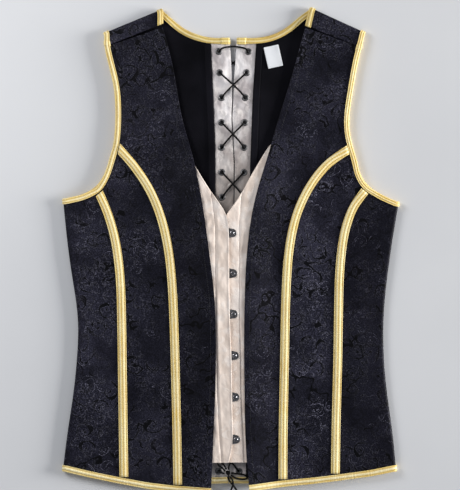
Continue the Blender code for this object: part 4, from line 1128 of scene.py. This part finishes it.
# %% Eyelets
EYELET_PROFILE = ((2.35, -1.7), (2.30, 0.15), (2.42, 0.50), (2.85, 0.72), (3.45, 0.70), (4.0, 0.46),
                  (4.45, 0.10), (4.40, -0.12), (3.9, -0.05), (2.95, -0.10), (2.75, -1.5))
eyelet_places = [(x * MM, y * MM, STRIP_TOP * MM) for side in SIDES for x, y in eyelets[side]]
eyelet_turns = [(0.0, 0.0, i * 1.7) for i in range(len(eyelet_places))]
rings = repeated("steel_eyelets", eyelet_places, eyelet_turns,
                 turned_shape("eyelet", EYELET_PROFILE, 24), steel)
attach(rings, "root")
print("eyelets", len(eyelet_places), "faces", len(rings.data.polygons))

# %% [markdown]
# ## Busk
#
# The left half of the busk has loops that stick out over the right half, and each closes
# over a domed stud.

# %% Busk loops and studs
STUDS = ((2.3, 20.0), (3.2, -30.4), (3.8, -81.2), (5.2, -133.0), (5.9, -184.8), (6.9, -237.4))
LOOP_MID, LOOP_HALF = 13.0, 0.55
LOOP_OUTER, LOOP_INNER, LOOP_BEVEL = 5.2, 3.15, 0.18
STUD_FOOT = 12.4
STUD_PROFILE = ((0.0, 0.0), (1.7, 0.0), (1.75, 1.5), (2.2, 1.75), (2.8, 1.8), (3.0, 2.1), (2.85, 2.6),
                (2.35, 3.05), (1.6, 3.35), (0.8, 3.48), (0.0, 3.5))


def loop_shape():
    """A flat steel loop: a root that widens under the placket and a round end."""
    arc = np.radians(np.linspace(64, -64, 17))
    outer = [(-8.2, 6.4), (-4.6, 6.0), (-1.0, 5.35)]
    outer += [(LOOP_OUTER * math.cos(a), LOOP_OUTER * math.sin(a)) for a in arc]
    outer += [(-1.0, -5.35), (-4.6, -6.0), (-8.2, -6.4)]
    ring = [(LOOP_INNER * math.cos(a), LOOP_INNER * math.sin(a))
            for a in np.linspace(0, math.tau, 24, endpoint=False)]
    curve = bpy.data.curves.new("loop_outline", "CURVE")
    curve.dimensions = "2D"
    curve.fill_mode = "BOTH"
    curve.extrude = (LOOP_HALF - LOOP_BEVEL) * MM
    curve.bevel_depth = LOOP_BEVEL * MM
    curve.bevel_resolution = 1
    for points in (outer, ring):
        spline = curve.splines.new("POLY")
        spline.use_cyclic_u = True
        spline.points.add(len(points) - 1)
        for point, (x, y) in zip(spline.points, points):
            point.co = (x * MM, y * MM, 0.0, 1.0)
    outline = bpy.data.objects.new("loop_outline", curve)
    bpy.context.scene.collection.objects.link(outline)
    shown = outline.evaluated_get(bpy.context.evaluated_depsgraph_get())
    mesh = bpy.data.meshes.new_from_object(shown)
    shape = bpy.data.objects.new("busk_loop", mesh)
    bpy.context.scene.collection.objects.link(shape)
    bpy.data.objects.remove(outline)
    return shape


loop_places = [((x - MIDDLE_X) * MM, y * MM, LOOP_MID * MM) for x, y in STUDS]
loops = repeated("steel_busk_loops", loop_places, [(0.0, 0.0, 0.0)] * len(STUDS), loop_shape(), dark_steel)
dressed(loops, dark_steel, "steel", *["busk_loop_%d" % (i + 1) for i in range(len(STUDS))])
stud_places = [((x - MIDDLE_X) * MM, y * MM, STUD_FOOT * MM) for x, y in STUDS]
studs = repeated("steel_busk_studs", stud_places, [(0.0, 0.0, i * 0.9) for i in range(len(STUDS))],
                 turned_shape("stud", STUD_PROFILE, 24), stud_steel)
dressed(studs, stud_steel, "steel", *["busk_stud_%d" % (i + 1) for i in range(len(STUDS))])
print("busk", len(loops.data.polygons), len(studs.data.polygons), "faces")

# %% [markdown]
# ## Stitches
#
# A stitch is a short thread lying on the cloth. The seam lines are the rim lines of each
# piece moved inwards; a ray from above drops each point onto the cloth.


# %% Seam lines on a piece
def surface_of(piece):
    """The piece's surface, ready for rays."""
    return BVHTree.FromObject(piece, bpy.context.evaluated_depsgraph_get())


def seam_on(tree, line, inset, lift=0.05):
    """The line moved inwards on the piece and dropped onto it from above, or None if it is hidden."""
    line = closely(line, 1.0 * MM)
    ahead = np.gradient(line, axis=0)
    across = np.column_stack([ahead[:, 1], -ahead[:, 0], np.zeros(len(line))])
    across /= np.maximum(np.linalg.norm(across, axis=1, keepdims=True), 1e-9)
    best = []
    for way in (1.0, -1.0):
        near, seam = [], []
        for place, step in zip(line, across * way):
            probe = place + step * 0.5 * MM
            hit = tree.ray_cast(Vector((probe[0], probe[1], 0.2)), Vector((0, 0, -1)))[0]
            near.append(hit is not None and abs(hit.z - place[2]) < 1.1 * MM)
            probe = place + step * inset * MM
            hit = tree.ray_cast(Vector((probe[0], probe[1], 0.2)), Vector((0, 0, -1)))[0]
            if hit is not None and abs(hit.z - place[2]) < 2.2 * MM:
                seam.append((hit.x, hit.y, hit.z + lift * MM))
        if np.mean(near) > 0.7 and len(seam) > len(best):
            best = seam
    return np.array(best) if len(best) > 0.6 * len(line) else None


def upper_lines(lines):
    """The longer lines, without those that lie right under another."""
    kept = []
    for line in sorted((l for l in lines if length_of(l) > 35 * MM), key=lambda l: -l[:, 2].mean()):
        middle = line[len(line) // 2]
        if not any(np.min(np.hypot(*(other[:, :2] - middle[:2]).T)) < 1.2 * MM for other in kept):
            kept.append(line)
    return kept


def thread_shape(length, thick):
    """A short thread with sunken ends, lying along X."""
    work = bmesh.new()
    bmesh.ops.create_uvsphere(work, u_segments=6, v_segments=4, radius=1.0)
    for v in work.verts:
        v.co = (v.co.z * length / 2 * MM, v.co.x * thick / 2 * MM, v.co.y * thick / 2 * MM)
    bmesh.ops.recalc_face_normals(work, faces=work.faces)
    for face in work.faces:
        face.smooth = True
    mesh = bpy.data.meshes.new("thread")
    work.to_mesh(mesh)
    work.free()
    shape = bpy.data.objects.new("thread", mesh)
    bpy.context.scene.collection.objects.link(shape)
    return shape


def stitched(name, seams, finish, pitch=2.5, length=1.9, thick=0.34):
    """Stitches along all the seams, as one piece."""
    places, turns = [], []
    for seam in seams:
        spaced = closely(seam, pitch * MM)
        ahead = np.gradient(spaced, axis=0)
        for place, way in zip(spaced[1:-1], ahead[1:-1]):
            places.append(place)
            flat = math.hypot(way[0], way[1])
            turns.append((0.0, -math.atan2(way[2], flat), math.atan2(way[1], way[0])))
    made = repeated(name, places, turns, thread_shape(length, thick), finish)
    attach(made, "root")
    print(name, len(places), "stitches", len(made.data.polygons), "faces")


# %% Gold stitches on tapes and bindings
gold_seams = []
for solid in bands:
    surface = surface_of(pieces[solid])
    for line in upper_lines(rims[solid]):
        seam = seam_on(surface, line, STITCH_LINE)
        if seam is not None:
            gold_seams.append(seam)
print("gold seams", len(gold_seams), round(sum(length_of(s) for s in gold_seams), 2), "m")
stitched("gold_stitches", gold_seams, gold_thread)

# %% Black stitches along the front opening
OPENING_STITCH_INSET = 7.0

black_seams = []
for side in SIDES:
    solid = "front_centre_" + side
    opening = min(upper_lines(rims[solid]), key=lambda l: abs(l[:, 0]).mean())
    seam = seam_on(surface_of(pieces[solid]), opening, OPENING_STITCH_INSET)
    if seam is not None:
        black_seams.append(seam)
stitched("black_stitches", black_seams, black_thread)

# %% [markdown]
# ## Lace
#
# The lace is a thin round braid. Its two halves start at the bar across the first row and
# cross in turn inside and outside the back, down to a bow at the foot. Each route is
# rounded at its corners, then Geometry Nodes sweep a circle along it and note how far
# along and around each corner is, which the braid pattern reads.


# %% Geometry Nodes: a round cord along a line
def cord_tree(name):
    """The tree that sweeps a circle along a line and notes the place along and around it."""
    tree = bpy.data.node_groups.new(name, "GeometryNodeTree")
    tree.interface.new_socket("Geometry", in_out="INPUT", socket_type="NodeSocketGeometry")
    for label, kind in (("Radius", "NodeSocketFloat"), ("Sides", "NodeSocketInt"),
                        ("Finish", "NodeSocketMaterial")):
        tree.interface.new_socket(label, in_out="INPUT", socket_type=kind)
    tree.interface.new_socket("Geometry", in_out="OUTPUT", socket_type="NodeSocketGeometry")
    start = tree.nodes.new("NodeGroupInput")
    end = tree.nodes.new("NodeGroupOutput")
    line = tree.nodes.new("GeometryNodeMeshToCurve")
    note_along = tree.nodes.new("GeometryNodeStoreNamedAttribute")
    note_along.inputs["Name"].default_value = "along"
    along = tree.nodes.new("GeometryNodeSplineParameter")
    circle = tree.nodes.new("GeometryNodeCurvePrimitiveCircle")
    note_around = tree.nodes.new("GeometryNodeStoreNamedAttribute")
    note_around.inputs["Name"].default_value = "around"
    around = tree.nodes.new("GeometryNodeSplineParameter")
    swept = tree.nodes.new("GeometryNodeCurveToMesh")
    swept.inputs["Fill Caps"].default_value = True
    smooth = tree.nodes.new("GeometryNodeSetShadeSmooth")
    painted = tree.nodes.new("GeometryNodeSetMaterial")
    join = tree.links.new
    join(start.outputs["Geometry"], line.inputs["Mesh"])
    join(line.outputs["Curve"], note_along.inputs["Geometry"])
    join(along.outputs["Length"], note_along.inputs["Value"])
    join(start.outputs["Radius"], circle.inputs["Radius"])
    join(start.outputs["Sides"], circle.inputs["Resolution"])
    join(circle.outputs["Curve"], note_around.inputs["Geometry"])
    join(around.outputs["Factor"], note_around.inputs["Value"])
    join(note_along.outputs["Geometry"], swept.inputs["Curve"])
    join(note_around.outputs["Geometry"], swept.inputs["Profile Curve"])
    join(swept.outputs["Mesh"], smooth.inputs["Geometry"])
    join(smooth.outputs["Geometry"], painted.inputs["Geometry"])
    join(start.outputs["Finish"], painted.inputs["Material"])
    join(painted.outputs["Geometry"], end.inputs["Geometry"])
    return tree


cord_nodes = cord_tree("round_cord")


def corner_cut(points, times=3):
    """The route with its corners cut again and again, which keeps its two ends."""
    points = np.asarray(points, float)
    for _ in range(times):
        first = points[:-1] * 0.75 + points[1:] * 0.25
        second = points[:-1] * 0.25 + points[1:] * 0.75
        cut = np.empty((2 * len(first), 3))
        cut[0::2], cut[1::2] = first, second
        points = np.vstack([points[:1], cut, points[-1:]])
    return points


CORD_SIDES = 10


def laced(name, route, radius, *solids):
    """A round cord along a route in mm."""
    route = np.asarray(route, float) * MM - np.array([MIDDLE_X * MM, 0, 0])
    mesh = bpy.data.meshes.new(name)
    mesh.from_pydata([tuple(p) for p in route], [(i, i + 1) for i in range(len(route) - 1)], [])
    piece = bpy.data.objects.new(name, mesh)
    bpy.context.scene.collection.objects.link(piece)
    sweep = piece.modifiers.new("sweep", "NODES")
    sweep.node_group = cord_nodes
    values = {"Radius": radius * MM, "Sides": CORD_SIDES, "Finish": cord_finish}
    for item in cord_nodes.interface.items_tree:
        if item.item_type == "SOCKET" and item.in_out == "INPUT" and item.name in values:
            sweep[item.identifier] = values[item.name]
    made_plain(piece)
    return dressed(piece, cord_finish, "cord", *solids)


# %% Lace routes, in mm
CORD = 2.3
ARCH_SHARE, ARCH_RISE = 0.66, 1.7
OUTER_LOW, OUTER_HIGH, INNER_LOW, INNER_HIGH = 1.15, 3.3, 7.6, 9.5
BAR = ((19.8, 250.4, 7.9), (13.0, 252.4, 7.8), (4.0, 253.2, 7.8), (-5.0, 252.6, 7.8), (-11.4, 250.6, 7.9))
STRANDS = {
    "left": ((-12.4, -278.8, 9.4), (-9.0, -280.2, 9.4), (-6.9, -280.3, 9.4)),
    "right": ((7.6, -274.6, 7.6), (4.0, -269.2, 8.2), (0.4, -266.6, 9.0), (-1.6, -270.4, 10.0),
              (-2.4, -275.6, 10.6)),
}
BOW_LOOPS = {
    "left": ((-6.4, -277.6, 9.6), (-10.5, -273.2, 9.0), (-14.6, -270.4, 8.6), (-15.4, -267.4, 8.6),
             (-12.4, -266.4, 8.8), (-8.2, -269.6, 9.4), (-4.9, -275.0, 10.4)),
    "right": ((1.0, -279.6, 9.4), (7.6, -280.8, 8.8), (14.6, -281.6, 8.6), (20.0, -283.4, 8.6),
              (20.4, -286.6, 9.0), (15.0, -287.6, 9.8), (7.4, -286.2, 9.8), (0.6, -282.4, 9.2)),
}
TAILS = {
    "left": ((-0.4, -283.6, 11.4), (2.6, -288.4, 13.0), (3.4, -293.4, 12.0), (1.6, -299.6, 8.4),
             (-0.6, -306.0, 3.4), (-1.8, -312.0, 1.4), (-2.6, -322.0, 1.3)),
    "right": ((-3.4, -284.0, 9.6), (-1.2, -289.4, 9.6), (3.4, -295.0, 9.0), (7.2, -301.0, 5.6),
              (9.8, -307.4, 2.1), (11.4, -314.0, 1.3), (13.0, -323.0, 1.3)),
}


def half_route(start_side, outer, inner, lead):
    """Down through a row, across outside, up through the next row, and across inside in a slight arch."""
    other = {"left": "right", "right": "left"}
    route = [tuple(p) for p in lead]
    side = start_side
    for row, y in enumerate(row_ys):
        x = eyelets[side][row][0] + MIDDLE_X
        lean = 0.6 if side == "left" else -0.6
        first, second = (inner, outer) if row % 2 == 0 else (outer, inner)
        if row and row % 2 == 0:
            from_x, from_y = route[-1][:2]
            arch_x = from_x + (x - from_x) * ARCH_SHARE
            arch_y = from_y + (y - from_y) * ARCH_SHARE + ARCH_RISE
            route.append((arch_x, arch_y, inner))
        route.append((x + lean, y + (0.8 if row else 0.0), first))
        route.append((x + lean, y - (0.8 if row < ROWS - 1 else 0.0), second))
        side = other[side]
    return route


first_half = half_route("left", OUTER_LOW, INNER_LOW, [BAR[2], BAR[3], BAR[4]]) + list(STRANDS["right"])
second_half = half_route("right", OUTER_HIGH, INNER_HIGH, [BAR[2], BAR[1], BAR[0]]) + list(STRANDS["left"])
laces = [laced("lace_first_half", corner_cut(first_half), CORD / 2, "lace_a"),
         laced("lace_second_half", corner_cut(second_half), CORD / 2, "lace_b")]
for side in SIDES:
    laces.append(laced("bow_loop_" + side, rounded(BOW_LOOPS[side]), CORD / 2, "lace_loop_" + side))
for side in SIDES:
    tail = laced("lace_end_" + side, rounded(TAILS[side]), CORD / 2, "lace_tail_" + side)

# %% Knot
KNOT = (-2.9, -280.0, 9.3)
KNOT_CORD = 2.1


def knot_piece():
    """Two turns of the lace pulled tight into a small knot."""
    t = np.linspace(0, math.tau, 60, endpoint=False)
    x = 1.9 * np.sin(t) + 0.5 * np.sin(2 * t + 0.4)
    y = 1.5 * np.cos(t) + 0.9 * np.sin(2 * t)
    z = 1.1 * np.cos(2 * t) + 0.5 * np.sin(3 * t)
    first = np.column_stack([x, y, z + 0.2]) + KNOT
    second = np.column_stack([-y * 0.9, x * 1.05, z * 0.8]) + KNOT
    return laced("lace_knot_turns", np.vstack([first, second, second[:1]]), KNOT_CORD / 2, "lace_knot")


laces.append(knot_piece())
print("lace pieces", len(laces) + len(SIDES))

# %% [markdown]
# ## Care label
#
# A small white satin label hangs from the neck binding. It is left bare.

# %% Label
piece, rims["care_label"] = soft_copy("care_label", "cloth_care_label", 3, 0.8)
points = corners_of(piece)
points[:, 2] += 0.35 * MM * (1 + waves(points, (0.012, 0.030), 51))
moved_to(piece, points)
pieces["care_label"] = dressed(piece, label_finish, "label", "care_label")
print("care label", len(piece.data.polygons), "faces")

# %% [markdown]
# ## Cuts
#
# Each piece of cloth was cut flat. Its area is half of the closed sheet's, which has two
# faces. A panel takes the length of the box that it fills, and the box's width up to
# twice the area divided by the length, which makes the front centre panels narrower than
# their boxes. A tape or binding takes the length of its longest rim line, and its width is
# the area divided by that. A lacing strip takes the stated length below, which is a
# little under that of its mesh. What is folded under at the side or over the shoulder
# isn't added, so the side and back panels are stated smaller than their real cuts.

# %% Sheets
STRIP_CUT = 0.55
LEAST_FILL = 0.5
for solid, piece in pieces.items():
    if "casing" in solid:
        continue
    side = solid.rsplit("_", 1)[1] if solid.rsplit("_", 1)[1] in SIDES else ""
    kind = solid[: -len(side) - 1] if side else solid
    points = corners_of(piece)
    area = sum(p.area for p in piece.data.polygons) / 2
    if "tape" in kind or "binding" in kind or kind == "lacing_strip":
        length = max(length_of(line) for line in rims[solid]) if solid in rims else STRIP_CUT
        width = area / length
    else:
        length = float(np.ptp(points[:, 1]))
        width = min(float(np.ptp(points[:, 0])), area / length / LEAST_FILL)
    width, length = round(width, 4), round(length, 4)
    area = min(area, width * length)
    print(kind, side, "width", width, "length", length, "area", round(area, 5))

# %% [markdown]
# ## The table under the vest
#
# A plain pale board with a faint mottling. One large square is enough, because the table's
# edge never shows.

# %% Floor
BOARD_HALF = 3
board_corners = [(x * BOARD_HALF, y * BOARD_HALF, 0) for x, y in ((-1, -1), (1, -1), (1, 1), (-1, 1))]
floor_mesh = bpy.data.meshes.new("table_top")
floor_mesh.from_pydata(board_corners, [], [(0, 1, 2, 3)])
floor = bpy.data.objects.new("table_top", floor_mesh)
bpy.context.scene.collection.objects.link(floor)
board, board_tree, board_shader, board_place = finish_named("pale_board", 0.75, specular=0.3)
board_shade = mixed(board_tree, ranged(board_tree, noise(board_tree, board_place, 3.0, 4.0), 0.3, 0.7),
                    (0.660, 0.672, 0.700, 1.0), (0.700, 0.712, 0.738, 1.0))
board_tree.links.new(board_shade, board_shader.inputs["Base Color"])
floor_mesh.materials.append(board)
print("table", 2 * BOARD_HALF, "m across")
